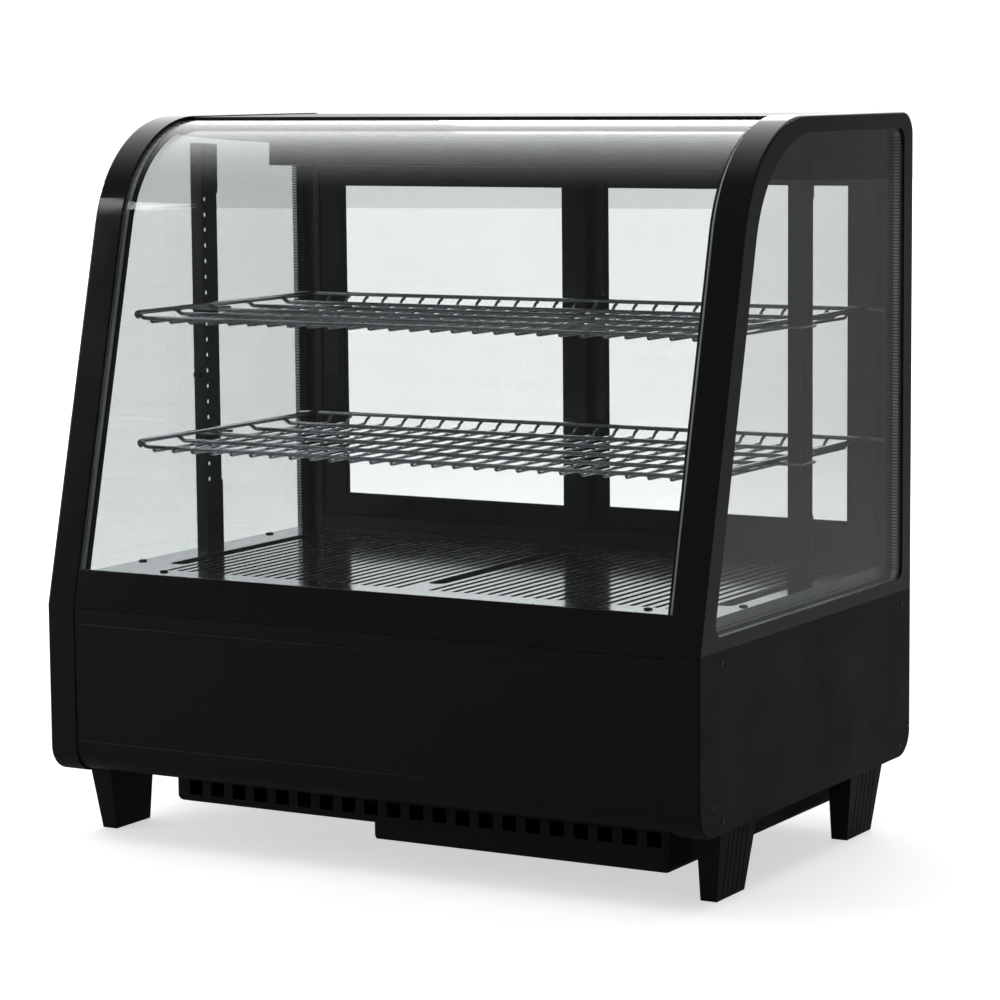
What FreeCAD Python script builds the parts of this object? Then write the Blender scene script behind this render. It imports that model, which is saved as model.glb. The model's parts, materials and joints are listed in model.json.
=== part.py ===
import FreeCAD, Part
import math
import operator
import os

import Sketcher

# A countertop refrigerated bakery display case: curved front glass, two glazed sides, two sliding
# rear doors, two wire shelves, and a refrigeration unit in the base.
# Frame: origin on the ground at the middle of the footprint, +X to the viewer's right,
# -Y is the curved front, +Z is up. Lengths are millimetres.

document = FreeCAD.newDocument("display_case")
sheet = document.addObject("Spreadsheet::Sheet", "Sizes")
parts = []


# ---------------------------------------------------------------- sizes that know their formula

OPERATIONS = {"+": operator.add, "-": operator.sub, "*": operator.mul, "/": operator.truediv}


class Size:
    # A length or a count that carries its number and the sheet formula that gives it.

    def __init__(self, value, formula):
        self.value = value
        self.formula = formula

    def __add__(self, other):
        return joined(self, "+", other)

    def __radd__(self, other):
        return joined(other, "+", self)

    def __sub__(self, other):
        return joined(self, "-", other)

    def __rsub__(self, other):
        return joined(other, "-", self)

    def __mul__(self, other):
        return joined(self, "*", other)

    def __rmul__(self, other):
        return joined(other, "*", self)

    def __truediv__(self, other):
        return joined(self, "/", other)

    def __neg__(self):
        return joined(0, "-", self)


def as_size(number):
    if isinstance(number, Size):
        return number
    return Size(number, f"({number})")


def joined(first, sign, second):
    first = as_size(first)
    second = as_size(second)
    value = OPERATIONS[sign](first.value, second.value)
    return Size(value, f"({first.formula} {sign} {second.formula})")


def root(number):
    return Size(math.sqrt(number.value), f"sqrt({number.formula})")


def number_of(size):
    return as_size(size).value


def dimension(alias, value, meaning):
    row = len(sheet.getUsedCells()) // 2 + 1
    sheet.set(f"A{row}", meaning)
    sheet.set(f"B{row}", str(value))
    sheet.setAlias(f"B{row}", alias)
    return Size(value, f"Sizes.{alias}")


def bind(thing, path, size):
    thing.setExpression(path, as_size(size).formula)


# ---------------------------------------------------------------- driving dimensions

case_width = dimension("case_width", 682, "width over the side frames")
case_depth = dimension("case_depth", 450, "depth, front to rear")
case_height = dimension("case_height", 675, "height over the roof, feet included")
foot_height = dimension("foot_height", 64, "ground to the underside of the case")
belt_height = dimension("belt_height", 224, "height where the base ends and the front leans back")
lean = dimension("lean", 0.247, "run back per unit of rise on the leaning front")
brow_radius = dimension("brow_radius", 128, "radius from the leaning front to the roof")
rear_top_radius = dimension("rear_top_radius", 22, "radius at the top rear of the side frames")
low_radius = dimension("low_radius", 25, "radius along the bottom edges of the base")
frame_width = dimension("frame_width", 30, "width of a side frame across the case")
frame_round = dimension("frame_round", 2.5, "rounding of the outer edges of the frames")
frame_lip = dimension("frame_lip", 2, "plastic in front of a side pane")
rim_front = dimension("rim_front", 24.5, "frame rim at the leaning front")
rim_top = dimension("rim_top", 15.5, "frame rim at the top")
rim_rear = dimension("rim_rear", 21, "frame rim at the rear")
rim_low = dimension("rim_low", 12, "frame rim above the belt")
window_radius = dimension("window_radius", 118, "large corner of the side window")
window_corner = dimension("window_corner", 4, "small corners of the side window")
rebate = dimension("rebate", 7, "how far a side pane runs behind the frame lip")
side_pane = dimension("side_pane", 3, "thickness of a side pane")
side_gap = dimension("side_gap", 5, "gap between the two side panes")
spacer_show = dimension("spacer_show", 6, "width of spacer bar seen at the rear of a side window")
glass_fit = dimension("glass_fit", 0.5, "clearance around glass and panels")
shell_wall = dimension("shell_wall", 3, "wall of the moulded base panels")
glass_recess = dimension("glass_recess", 3.5, "front glass below the frame's outline")
front_pane = dimension("front_pane", 4, "thickness of a curved front pane")
front_gap = dimension("front_gap", 5, "gap between the curved panes")
front_spacer = dimension("front_spacer", 4, "width of the spacer bars of the front glass")
front_spacer_inset = dimension("front_spacer_inset", 0.5, "front spacer bar to the glass edge")
trim_height = dimension("trim_height", 33.5, "glossy band above the belt")
trim_wall = dimension("trim_wall", 2.2, "thickness of the glossy band")
trim_recess = dimension("trim_recess", 0.8, "glossy band below the frame's outline")
groove_drop = dimension("groove_drop", 16.6, "upper groove line below the belt")
groove_lift = dimension("groove_lift", 33, "lower groove line above the underside")
groove_size = dimension("groove_size", 0.8, "depth of the groove lines")
panel_tuck = dimension("panel_tuck", 35, "how far the front panel turns under the case")
panel_recess = dimension("panel_recess", 1, "front panel behind the frames' front")
panel_lift = dimension("panel_lift", 2, "front panel above the frames' underside")
panel_drop = dimension("panel_drop", 2.5, "front panel's top edge below the belt")
trim_tuck = dimension("trim_tuck", 2, "glossy band below the belt")
glass_lift = dimension("glass_lift", 4, "foot of the front glass above the belt")
glass_roof_gap = dimension("glass_roof_gap", 1, "front glass ahead of the filled roof")
roof_lip = dimension("roof_lip", 0.6, "roof sheet's front edge ahead of the curve's end")
roof_core_start = dimension("roof_core_start", 13.4, "filled roof behind the curve's end")
roof_recess = dimension("roof_recess", 1, "roof sheet below the frame tops")
roof_sheet = dimension("roof_sheet", 2.3, "roof sheet at its front lip")
roof_core = dimension("roof_core", 17, "thickness of the filled roof panel")
rear_frame_depth = dimension("rear_frame_depth", 24, "depth of the rear door frame")
rear_recess = dimension("rear_recess", 1, "rear door frame inside the frame outline")
sill_height = dimension("sill_height", 26, "bottom of the rear door opening above the belt")
head_drop = dimension("head_drop", 35, "top of the rear door opening below the top")
door_jamb = dimension("door_jamb", 7.2, "width of the rear frame beside the doors")
track_wall = dimension("track_wall", 1.25, "thickness of the door track fins")
track_base = dimension("track_base", 3, "thickness of the door track base")
track_channel = dimension("track_channel", 10, "width of one door channel")
track_low_fin = dimension("track_low_fin", 9, "height of the bottom track fins")
track_top_fin = dimension("track_top_fin", 13, "height of the top track fins")
door_thick = dimension("door_thick", 8, "thickness of a sliding door")
door_overlap = dimension("door_overlap", 8, "overlap of the closed doors")
door_play = dimension("door_play", 0.5, "clearance under a door and at its ends")
door_lift = dimension("door_lift", 2, "clearance over a door in the top track")
window_inner = dimension("window_inner", 20, "door window's edge to the centre line")
door_stile = dimension("door_stile", 26, "width of a door's outer stile")
door_rail_low = dimension("door_rail_low", 29.5, "height of a door's bottom rail")
door_rail_high = dimension("door_rail_high", 28, "height of a door's top rail")
door_pane = dimension("door_pane", 5, "thickness of the door glass")
door_bite = dimension("door_bite", 6, "how far the door glass runs into its frame")
handle_width = dimension("handle_width", 16, "width of a door's finger cup")
handle_length = dimension("handle_length", 76, "height of a door's finger cup")
handle_lift = dimension("handle_lift", 191.5, "middle of the finger cups above the door's foot")
handle_wall = dimension("handle_wall", 1.6, "wall of a finger cup")
handle_fit = dimension("handle_fit", 0.15, "clearance around a finger cup")
post_width = dimension("post_width", 12.5, "shelf post across the case")
post_depth = dimension("post_depth", 26, "shelf post along the case")
post_front = dimension("post_front", 2, "front face of the posts behind the centre")
post_wall = dimension("post_wall", 1.6, "wall of a shelf post")
post_sleeve = dimension("post_sleeve", 2, "how far the end sleeves stand behind a post")
post_sleeve_low = dimension("post_sleeve_low", 66, "height of the lower sleeve")
post_sleeve_high = dimension("post_sleeve_high", 50, "height of the upper sleeve")
post_head_gap = dimension("post_head_gap", 7, "clearance over the posts")
post_hole = dimension("post_hole", 2.4, "radius of the shelf holes")
post_hole_inset = dimension("post_hole_inset", 6, "shelf holes behind the post's front face")
post_hole_start = dimension("post_hole_start", 68.5, "lowest shelf hole above the deck")
post_hole_pitch = dimension("post_hole_pitch", 15.33, "spacing of the shelf holes")
stop_lift = dimension("stop_lift", 174.5, "small stop on each post above the deck")
rail_post_gap = dimension("rail_post_gap", 8, "shelf side rails inside the posts' faces")
rail_front_gap = dimension("rail_front_gap", 23.1, "upper shelf's front rail behind the curved glass")
rail_rear_gap = dimension("rail_rear_gap", 8, "shelf rear rail ahead of the rear frame")
rail_radius = dimension("rail_radius", 2.4, "radius of the shelf rails")
wire_radius = dimension("wire_radius", 1.5, "radius of the shelf wires")
cross_thinner = dimension("cross_thinner", 0.4, "shelf wires across, thinner than the side rails")
tip_thinner = dimension("tip_thinner", 0.3, "shelf rear rail, thinner than the side rails")
wire_pitch = dimension("wire_pitch", 22, "spacing of the front-to-back wires")
wire_margin = dimension("wire_margin", 18, "outermost wires inside the side rails")
cross_pitch = dimension("cross_pitch", 62, "spacing of the wires across the shelf")
rail_rise = dimension("rail_rise", 8.5, "shelf side rails above the wire plane")
high_hole = dimension("high_hole", 11, "hole of the upper shelf, counted up from 0")
low_hole = dimension("low_hole", 3, "hole of the lower shelf, counted up from 0")
prong_reach = dimension("prong_reach", 21, "rear rail beyond the side rails")
clip_wire = dimension("clip_wire", 1.4, "radius of the shelf clip wire")
clip_bar = dimension("clip_bar", 1.19, "radius of a shelf clip's cross bar")
clip_tooth = dimension("clip_tooth", 1.07, "radius of a shelf clip's tooth")
clip_gap = dimension("clip_gap", 0.3, "clearance between a clip and the shelf or post")
deck_lift = dimension("deck_lift", 25.5, "top of the perforated deck above the belt")
deck_sheet = dimension("deck_sheet", 1.5, "thickness of the deck sheet")
deck_side_gap = dimension("deck_side_gap", 4, "deck's side edges inside the glass")
deck_rear_gap = dimension("deck_rear_gap", 2, "deck's rear edge ahead of the rear frame")
slot_front_margin = dimension("slot_front_margin", 60, "deck ahead of the narrow slots")
slot_rear_margin = dimension("slot_rear_margin", 30, "deck behind the slots")
slot_width = dimension("slot_width", 5.6, "width of a narrow deck slot")
slot_pitch = dimension("slot_pitch", 12, "spacing of the deck slots")
slot_side_margin = dimension("slot_side_margin", 36, "deck outside the middle of a wide slot")
wide_slot = dimension("wide_slot", 18, "width of a wide deck slot")
wide_slot_margin = dimension("wide_slot_margin", 96, "deck ahead of the wide slots")
wide_slot_shift = dimension("wide_slot_shift", 11, "middle wide slot beside the centre line")
tub_wall = dimension("tub_wall", 1.5, "wall of the cold tub")
tub_step = dimension("tub_step", 20, "step in the tub floor, left of the centre")
tub_deep_drop = dimension("tub_deep_drop", 116, "deep floor of the tub below the deck")
tub_shallow_drop = dimension("tub_shallow_drop", 43, "shallow floor of the tub below the deck")
foam_wall = dimension("foam_wall", 18, "insulation around the tub")
foam_gap = dimension("foam_gap", 1.5, "clearance around the insulation")
pan_wall = dimension("pan_wall", 2.5, "wall of the moulded base pan")
pan_deep_drop = dimension("pan_deep_drop", 39, "deep part of the base pan below the case")
pan_shallow_drop = dimension("pan_shallow_drop", 24, "shallow part of the base pan below the case")
pan_left_margin = dimension("pan_left_margin", 84.75, "flange left of the base pan well")
pan_right_margin = dimension("pan_right_margin", 18.75, "flange right of the base pan well")
pan_step = dimension("pan_step", 7, "step between the pan's two depths")
pan_front_gap = dimension("pan_front_gap", 3, "base pan behind the front panel's turned edge")
pan_rear_margin = dimension("pan_rear_margin", 33.5, "flange behind the base pan well")
vent_pitch = dimension("vent_pitch", 24, "spacing of the base pan vents")
vent_width = dimension("vent_width", 14.4, "width of a base pan vent")
vent_margin = dimension("vent_margin", 16, "pan beyond the end vents")
vent_low_gap = dimension("vent_low_gap", 7.5, "vents above the pan's shallow underside")
vent_high_gap = dimension("vent_high_gap", 5, "vents below the pan's flange")
pan_round = dimension("pan_round", 6, "rounding of the base pan's lower edges")
lamp_end_gap = dimension("lamp_end_gap", 33.75, "roof beyond each end of the lamp housing")
lamp_front = dimension("lamp_front", 69, "lamp housing's front face behind the centre")
lamp_rear_gap = dimension("lamp_rear_gap", 21, "lamp housing ahead of the rear frame")
lamp_tall = dimension("lamp_tall", 29, "height of the lamp housing")
lamp_wall = dimension("lamp_wall", 2, "wall of the lamp housing")
foot_side_inset = dimension("foot_side_inset", 30, "inner faces of the feet inside the case's sides")
foot_sole = dimension("foot_sole", 16, "foot across the case at the ground")
foot_head = dimension("foot_head", 24, "foot across the case at its top")
foot_length = dimension("foot_length", 55, "foot along the case at the ground")
foot_flare = dimension("foot_flare", 8.5, "how much each end of a foot spreads towards the top")
foot_inset = dimension("foot_inset", 88, "middle of the feet inside the front and rear")
flute_pitch = dimension("flute_pitch", 9, "spacing of the flutes on the feet")
flute_depth = dimension("flute_depth", 0.8, "depth of a foot flute")
flute_width = dimension("flute_width", 1.2, "width of a foot flute")
flute_count = dimension("flute_count", 5, "number of flutes on a foot")
flute_start = dimension("flute_start", 6, "foot of the flutes above the ground")
flute_end = dimension("flute_end", 2, "top of the flutes below the foot's head")
grille_inset = dimension("grille_inset", 8, "grille panel inside the rear face")
louvre_width = dimension("louvre_width", 190, "length of the rear louvre slots")
louvre_size = dimension("louvre_size", 4, "height of a rear louvre slot")
louvre_pitch = dimension("louvre_pitch", 9, "spacing of the rear louvre slots")
louvre_count = dimension("louvre_count", 11, "number of rear louvre slots")
louvre_lift = dimension("louvre_lift", 20, "lowest louvre above the underside")
louvre_left = dimension("louvre_left", 250, "far end of the left louvres from the centre line")
louvre_right = dimension("louvre_right", 24, "near end of the right louvres from the centre line")
control_left = dimension("control_left", 110, "near end of the control panel from the centre line")
control_width = dimension("control_width", 150, "width of the control panel")
control_drop = dimension("control_drop", 34, "bottom of the control panel below the belt")
control_tall = dimension("control_tall", 34, "height of the control panel")
control_stand = dimension("control_stand", 2, "control panel's face beyond the grille panel")
control_deep = dimension("control_deep", 14, "depth of the control panel body")
control_lip = dimension("control_lip", 4, "rim of the control panel over the grille")
control_side_wall = dimension("control_side_wall", 3, "side walls of the control panel")
control_face_wall = dimension("control_face_wall", 4, "front wall of the control panel")
control_back_wall = dimension("control_back_wall", 1.5, "back wall of the control panel")
display_start = dimension("display_start", 7, "display inside the control panel's end")
display_width = dimension("display_width", 42, "width of the display window")
display_tall = dimension("display_tall", 20, "height of the display window")
display_sheet = dimension("display_sheet", 1, "thickness of the display window")
key_start = dimension("key_start", 62, "first key from the control panel's end")
key_size = dimension("key_size", 11, "side of a key")
key_gap = dimension("key_gap", 4, "gap between the keys")
key_fit = dimension("key_fit", 0.3, "clearance around a key")
key_proud = dimension("key_proud", 0.7, "how far a pressed key stands out")
key_travel = dimension("key_travel", 0.8, "travel of a key")
key_flange = dimension("key_flange", 1.2, "flange around the back of a key")
key_flange_wall = dimension("key_flange_wall", 1.7, "thickness of a key's flange")
rocker_end = dimension("rocker_end", 26, "middle of the rocker inside the panel's end")
rocker_width = dimension("rocker_width", 13, "width of the light switch rocker")
rocker_tall = dimension("rocker_tall", 20, "height of the light switch rocker")
rocker_fit = dimension("rocker_fit", 0.4, "clearance beside the rocker")
rocker_swing_fit = dimension("rocker_swing_fit", 1.2, "clearance over and under the rocker")
rocker_depth = dimension("rocker_depth", 5.5, "rocker's pin behind the panel's face")
rocker_back = dimension("rocker_back", 3, "rocker behind its pin")
rocker_proud = dimension("rocker_proud", 0.6, "rocker's middle beyond the panel's face")
rocker_tilt = dimension("rocker_tilt", 8, "tilt of the resting rocker, in degrees")
rocker_room = dimension("rocker_room", 14, "wall beside the rocker, from its middle")
rocker_pin = dimension("rocker_pin", 1.5, "radius of the rocker's pin")
rocker_pin_bite = dimension("rocker_pin_bite", 1.2, "how far the pin runs into the panel")
pin_end_gap = dimension("pin_end_gap", 0.3, "clearance at the ends of the rocker's pin")
pin_fit = dimension("pin_fit", 0.05, "radial clearance of pins and shafts")
inlet_width = dimension("inlet_width", 28, "width of the power inlet body")
inlet_tall = dimension("inlet_tall", 20, "height of the power inlet body")
inlet_deep = dimension("inlet_deep", 18, "depth of the power inlet body")
inlet_wall = dimension("inlet_wall", 2, "wall of the power inlet")
inlet_ear = dimension("inlet_ear", 6, "inlet flange beyond the body at each end")
inlet_rim = dimension("inlet_rim", 2, "inlet flange above and below the body")
inlet_place = dimension("inlet_place", 250, "power inlet from the centre line")
inlet_lift = dimension("inlet_lift", 36, "middle of the power inlet above the underside")
inlet_pin_width = dimension("inlet_pin_width", 2, "width of an inlet pin")
inlet_pin_tall = dimension("inlet_pin_tall", 4, "height of an inlet pin")
inlet_pin_pitch = dimension("inlet_pin_pitch", 7, "spacing of the inlet pins across")
inlet_pin_step = dimension("inlet_pin_step", 2, "middle pin above, outer pins below the middle")
inlet_pin_gap = dimension("inlet_pin_gap", 4, "inlet pins inside the flange face")
fan_shaft = dimension("fan_shaft", 3, "radius of the fan shafts")
room_blade = dimension("room_blade", 26, "chord of the evaporator fan's blades")
heat_blade = dimension("heat_blade", 27, "chord of the condenser fan's blades")
blade_wall = dimension("blade_wall", 1.4, "thickness of a fan blade")
blade_angle = dimension("blade_angle", 32, "pitch of the fan blades, in degrees")
blade_bite = dimension("blade_bite", 2, "root of a fan blade inside its hub")
rotor_gap = dimension("rotor_gap", 1, "clearance behind a fan rotor")
tip_gap = dimension("tip_gap", 3, "clearance around fan blade tips")
room_fan_radius = dimension("room_fan_radius", 52, "tip radius of the evaporator fan")
room_fan_hub = dimension("room_fan_hub", 20, "hub radius of the evaporator fan")
room_fan_frame = dimension("room_fan_frame", 119, "side of the evaporator fan frame")
room_fan_deep = dimension("room_fan_deep", 25, "depth of the evaporator fan frame")
room_fan_plate = dimension("room_fan_plate", 3, "motor plate and arms of the evaporator fan")
room_fan_drop = dimension("room_fan_drop", 48, "evaporator fan's underside below the deck")
fin_sheet = dimension("fin_sheet", 0.8, "thickness of the coil fins")
coil_tube = dimension("coil_tube", 4, "radius of the coil tubes")
cold_fin_pitch = dimension("cold_fin_pitch", 8, "spacing of the evaporator fins")
hot_fin_pitch = dimension("hot_fin_pitch", 6, "spacing of the condenser fins")
evaporator_tall = dimension("evaporator_tall", 50, "height of the evaporator")
evaporator_gap = dimension("evaporator_gap", 25, "evaporator behind its fan")
evaporator_rear_gap = dimension("evaporator_rear_gap", 42, "evaporator ahead of the tub's rear wall")
evaporator_end_gap = dimension("evaporator_end_gap", 21, "evaporator inside the tub's end")
evaporator_step_gap = dimension("evaporator_step_gap", 37.5, "evaporator beside the tub's step")
condenser_lift = dimension("condenser_lift", 15, "condenser fins above the pan floor")
condenser_head_gap = dimension("condenser_head_gap", 21.5, "condenser under the insulation")
condenser_deep = dimension("condenser_deep", 40, "depth of the condenser")
condenser_rear_gap = dimension("condenser_rear_gap", 54, "condenser ahead of the rear grille")
condenser_left = dimension("condenser_left", 100, "condenser on the near side of its fan")
condenser_right = dimension("condenser_right", 120, "condenser on the far side of its fan")
heat_fan_place = dimension("heat_fan_place", 150, "condenser fan from the centre line")
heat_fan_hub = dimension("heat_fan_hub", 21.6, "hub radius of the condenser fan")
shroud_edge = dimension("shroud_edge", 4.5, "shroud plate outside the fan bore")
shroud_sheet = dimension("shroud_sheet", 2, "sheet of the fan shroud")
shroud_collar = dimension("shroud_collar", 20, "length of the shroud's collar")
motor_radius = dimension("motor_radius", 27, "radius of the condenser fan motor")
motor_length = dimension("motor_length", 34, "length of the condenser fan motor")
motor_arm = dimension("motor_arm", 4, "half width and thickness of the motor arms")
motor_shaft_gap = dimension("motor_shaft_gap", 3, "motor shaft short of the collar's end")
rotor_end_gap = dimension("rotor_end_gap", 4, "condenser fan short of the collar's end")
heat_rotor_gap = dimension("heat_rotor_gap", 2, "condenser fan in front of its motor arms")
pot_radius = dimension("pot_radius", 54, "radius of the compressor shell")
pot_round = dimension("pot_round", 21.6, "rounding of the compressor's top")
pot_head_gap = dimension("pot_head_gap", 14.5, "clearance over the compressor's suction stub")
pot_place = dimension("pot_place", 110, "compressor from the centre line")
pot_front = dimension("pot_front", 70, "compressor ahead of the centre")
mount_radius = dimension("mount_radius", 8, "radius of the compressor's rubber mounts")
mount_tall = dimension("mount_tall", 8, "height of the compressor's rubber mounts")
mount_inset = dimension("mount_inset", 9, "rubber mounts inside the foot plate's edges")
foot_plate = dimension("foot_plate", 3, "thickness of the compressor's foot plate")
foot_plate_reach = dimension("foot_plate_reach", 20, "foot plate beyond the shell along the case")
foot_plate_inset = dimension("foot_plate_inset", 10.8, "foot plate inside the shell front and rear")
terminal_lift = dimension("terminal_lift", 40, "terminal box above the foot plate")
terminal_tall = dimension("terminal_tall", 55, "height of the terminal box")
terminal_half = dimension("terminal_half", 25, "half the width of the terminal box")
terminal_bite = dimension("terminal_bite", 8, "terminal box inside the shell's radius")
terminal_reach = dimension("terminal_reach", 22, "terminal box beyond the shell")
stub_radius = dimension("stub_radius", 4.8, "radius of the compressor's pipe stubs")
stub_rise = dimension("stub_rise", 6, "suction stub above the shell")
stub_reach = dimension("stub_reach", 10, "discharge stub beyond the shell")
stub_root = dimension("stub_root", 4, "stub inside the shell's top")
outlet_drop = dimension("outlet_drop", 43.2, "discharge stub below the shell's top")
pipe_radius = dimension("pipe_radius", 3, "radius of the copper pipes")
pipe_bend = dimension("pipe_bend", 12, "bend radius of the copper pipes")
pipe_run = dimension("pipe_run", 30, "discharge pipe's first run behind its stub")
pipe_side = dimension("pipe_side", 105, "discharge pipe beside the condenser fan's axis")
liquid_lift = dimension("liquid_lift", 34, "liquid line above the pan floor")
drier_side = dimension("drier_side", 8, "liquid line beside the discharge pipe")
drier_gap = dimension("drier_gap", 14, "filter drier ahead of the condenser")
drier_length = dimension("drier_length", 64, "length of the filter drier")
drier_radius = dimension("drier_radius", 9, "radius of the filter drier")
screw_radius = dimension("screw_radius", 4, "radius of a screw head")
screw_head = dimension("screw_head", 1.6, "height of a screw head")
screw_edge = dimension("screw_edge", 6.4, "deck screws inside the deck's side edges")
deck_screw_front = dimension("deck_screw_front", 100, "front deck screws ahead of the centre")
deck_screw_rear = dimension("deck_screw_rear", 120, "rear deck screws behind the centre")
slot_screw_end = dimension("slot_screw_end", 35, "screws by the slots inside the tub's ends")
slot_screw_gap = dimension("slot_screw_gap", 12, "screws ahead of the narrow slots")
grille_screw_edge = dimension("grille_screw_edge", 12, "grille screws inside its ends")
grille_screw_inset = dimension("grille_screw_inset", 14, "grille screws inside its top and foot")

document.recompute()

half_width = case_width / 2
half_depth = case_depth / 2
stretch = root(lean * lean + 1)
frame_inner = half_width - frame_width
panel_half = frame_inner - glass_fit / 2
rear_face = half_depth - rear_recess
rear_front = rear_face - rear_frame_depth
glass_inner_face = half_width - frame_lip - side_pane * 2 - side_gap
front_glass_back = glass_recess + front_pane * 2 + front_gap
SIDES = {"left": -1, "right": 1}


def leaning_y(height, inset):
    # Where a plane set in by inset from the leaning front crosses a height.
    return (height - belt_height) * lean + inset * stretch - half_depth


def whole(number):
    return Size(math.floor(number.value), f"floor({number.formula})")


brow_end = leaning_y(case_height, 0) + brow_radius / (stretch + lean)
deck_top = belt_height + deck_lift
foam_top = belt_height + rim_low
post_top = case_height - roof_recess - roof_core - post_head_gap
door_sill = belt_height + sill_height
door_head = case_height - head_drop


# ---------------------------------------------------------------- helpers for bodies

def plane_of(body, role):
    return next(item for item in body.Origin.OriginFeatures if item.Role == role)


def new_body(name):
    return document.addObject("PartDesign::Body", name)


def new_sketch(body, role, offset):
    # A sketch on one of the body's own origin planes, moved out along the plane's normal.
    sketch = body.newObject("Sketcher::SketchObject", body.Name + "_sketch")
    sketch.AttachmentSupport = [(plane_of(body, role), "")]
    sketch.MapMode = "FlatFace"
    bind(sketch, "AttachmentOffset.Base.z", offset)
    return sketch


def place_point(sketch, geometry, position, u, v):
    across = sketch.addConstraint(Sketcher.Constraint("DistanceX", geometry, position, number_of(u)))
    bind(sketch, f"Constraints[{across}]", u)
    up = sketch.addConstraint(Sketcher.Constraint("DistanceY", geometry, position, number_of(v)))
    bind(sketch, f"Constraints[{up}]", v)


def corner_arc(before, corner, after, radius):
    # The tangent arc that rounds a corner, and whether the outline turns left there.
    inward = (corner - before).normalize()
    onward = (after - corner).normalize()
    cross = inward.x * onward.y - inward.y * onward.x
    turn = math.atan2(cross, inward.x * onward.x + inward.y * onward.y)
    reach = radius * math.tan(abs(turn) / 2)
    start = corner - inward * reach
    end = corner + onward * reach
    side = 1 if turn > 0 else -1
    centre = start + FreeCAD.Vector(-inward.y, inward.x, 0) * radius * side
    circle = Part.Circle(centre, FreeCAD.Vector(0, 0, 1), radius)
    first, last = (start, end) if side > 0 else (end, start)
    arc = Part.ArcOfCircle(circle, circle.parameter(first), circle.parameter(last))
    return start, end, arc, side > 0


def add_outline(sketch, corners):
    # A closed outline through (u, v) corners; a third value rounds that corner.
    points = [FreeCAD.Vector(number_of(c[0]), number_of(c[1]), 0) for c in corners]
    count = len(corners)
    starts = list(points)
    ends = list(points)
    arcs = {}
    for index, corner in enumerate(corners):
        if len(corner) == 3:
            before = points[index - 1]
            after = points[(index + 1) % count]
            start, end, arc, leftward = corner_arc(before, points[index], after, number_of(corner[2]))
            ends[index] = start
            starts[index] = end
            arcs[index] = (sketch.addGeometry(arc), leftward)
    lines = []
    for index in range(count):
        segment = Part.LineSegment(starts[index], ends[(index + 1) % count])
        lines.append(sketch.addGeometry(segment))
    for index, corner in enumerate(corners):
        before = lines[index - 1]
        after = lines[index]
        if index not in arcs:
            sketch.addConstraint(Sketcher.Constraint("Coincident", before, 2, after, 1))
            place_point(sketch, after, 1, corner[0], corner[1])
            continue
        arc, leftward = arcs[index]
        point = sketch.addGeometry(Part.Point(points[index]), True)
        place_point(sketch, point, 1, corner[0], corner[1])
        sketch.addConstraint(Sketcher.Constraint("PointOnObject", point, 1, before))
        sketch.addConstraint(Sketcher.Constraint("PointOnObject", point, 1, after))
        near = 1 if leftward else 2
        sketch.addConstraint(Sketcher.Constraint("Tangent", before, 2, arc, near))
        sketch.addConstraint(Sketcher.Constraint("Tangent", arc, 3 - near, after, 1))
        radius = sketch.addConstraint(Sketcher.Constraint("Radius", arc, number_of(corner[2])))
        bind(sketch, f"Constraints[{radius}]", corner[2])


def pad(body, role, offset, length, outlines):
    # Outlines drawn on an origin plane moved by offset, extruded along the plane's normal.
    sketch = new_sketch(body, role, offset)
    for corners in outlines:
        add_outline(sketch, corners)
    feature = body.newObject("PartDesign::Pad", body.Name + "_pad")
    feature.Profile = sketch
    bind(feature, "Length", length)
    return feature


def add_primitive(body, kind, sizes, place, turn):
    feature = body.newObject(kind, body.Name + "_step")
    for name, size in sizes.items():
        bind(feature, name, size)
    feature.Placement = FreeCAD.Placement(FreeCAD.Vector(), turn)
    for axis, size in zip("xyz", place):
        bind(feature, f"Placement.Base.{axis}", size)
    return feature


def box(body, low, high, cut=False):
    kind = "PartDesign::SubtractiveBox" if cut else "PartDesign::AdditiveBox"
    names = ("Length", "Width", "Height")
    sizes = {name: top - bottom for name, bottom, top in zip(names, low, high)}
    return add_primitive(body, kind, sizes, low, FreeCAD.Rotation())


TURNS = {
    "X": FreeCAD.Rotation(FreeCAD.Vector(0, 1, 0), 90),
    "Y": FreeCAD.Rotation(FreeCAD.Vector(1, 0, 0), -90),
    "Z": FreeCAD.Rotation(),
}


def cylinder(body, axis, start, radius, length, cut=False):
    kind = "PartDesign::SubtractiveCylinder" if cut else "PartDesign::AdditiveCylinder"
    return add_primitive(body, kind, {"Radius": radius, "Height": length}, start, TURNS[axis])


def repeat(body, feature, axis, pitch, count):
    # Repeats one feature along an origin axis.
    document.recompute()
    pattern = body.newObject("PartDesign::LinearPattern", body.Name + "_row")
    pattern.Originals = [feature]
    pattern.Direction = (plane_of(body, axis + "_Axis"), [""])
    bind(pattern, "Length", pitch * (count - 1))
    bind(pattern, "Occurrences", count)
    body.Tip = pattern
    return pattern


def turn_about(body, feature, axis, count):
    # Repeats one feature around an origin axis.
    document.recompute()
    pattern = body.newObject("PartDesign::PolarPattern", body.Name + "_ring")
    pattern.Originals = [feature]
    pattern.Axis = (plane_of(body, axis + "_Axis"), [""])
    pattern.Angle = 360
    pattern.Occurrences = count
    body.Tip = pattern
    return pattern


def round_edges(body, radius, chosen):
    document.recompute()
    base = body.Tip
    names = [f"Edge{i + 1}" for i, edge in enumerate(base.Shape.Edges) if chosen(edge)]
    fillet = body.newObject("PartDesign::Fillet", body.Name + "_round")
    fillet.Base = (base, names)
    bind(fillet, "Radius", radius)
    return fillet


def finish(name, thing):
    thing.Label = name
    parts.append(thing)
    return thing


def group(name, things):
    compound = document.addObject("Part::Compound", name + "_group")
    compound.Links = things
    return finish(name, compound)


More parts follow.
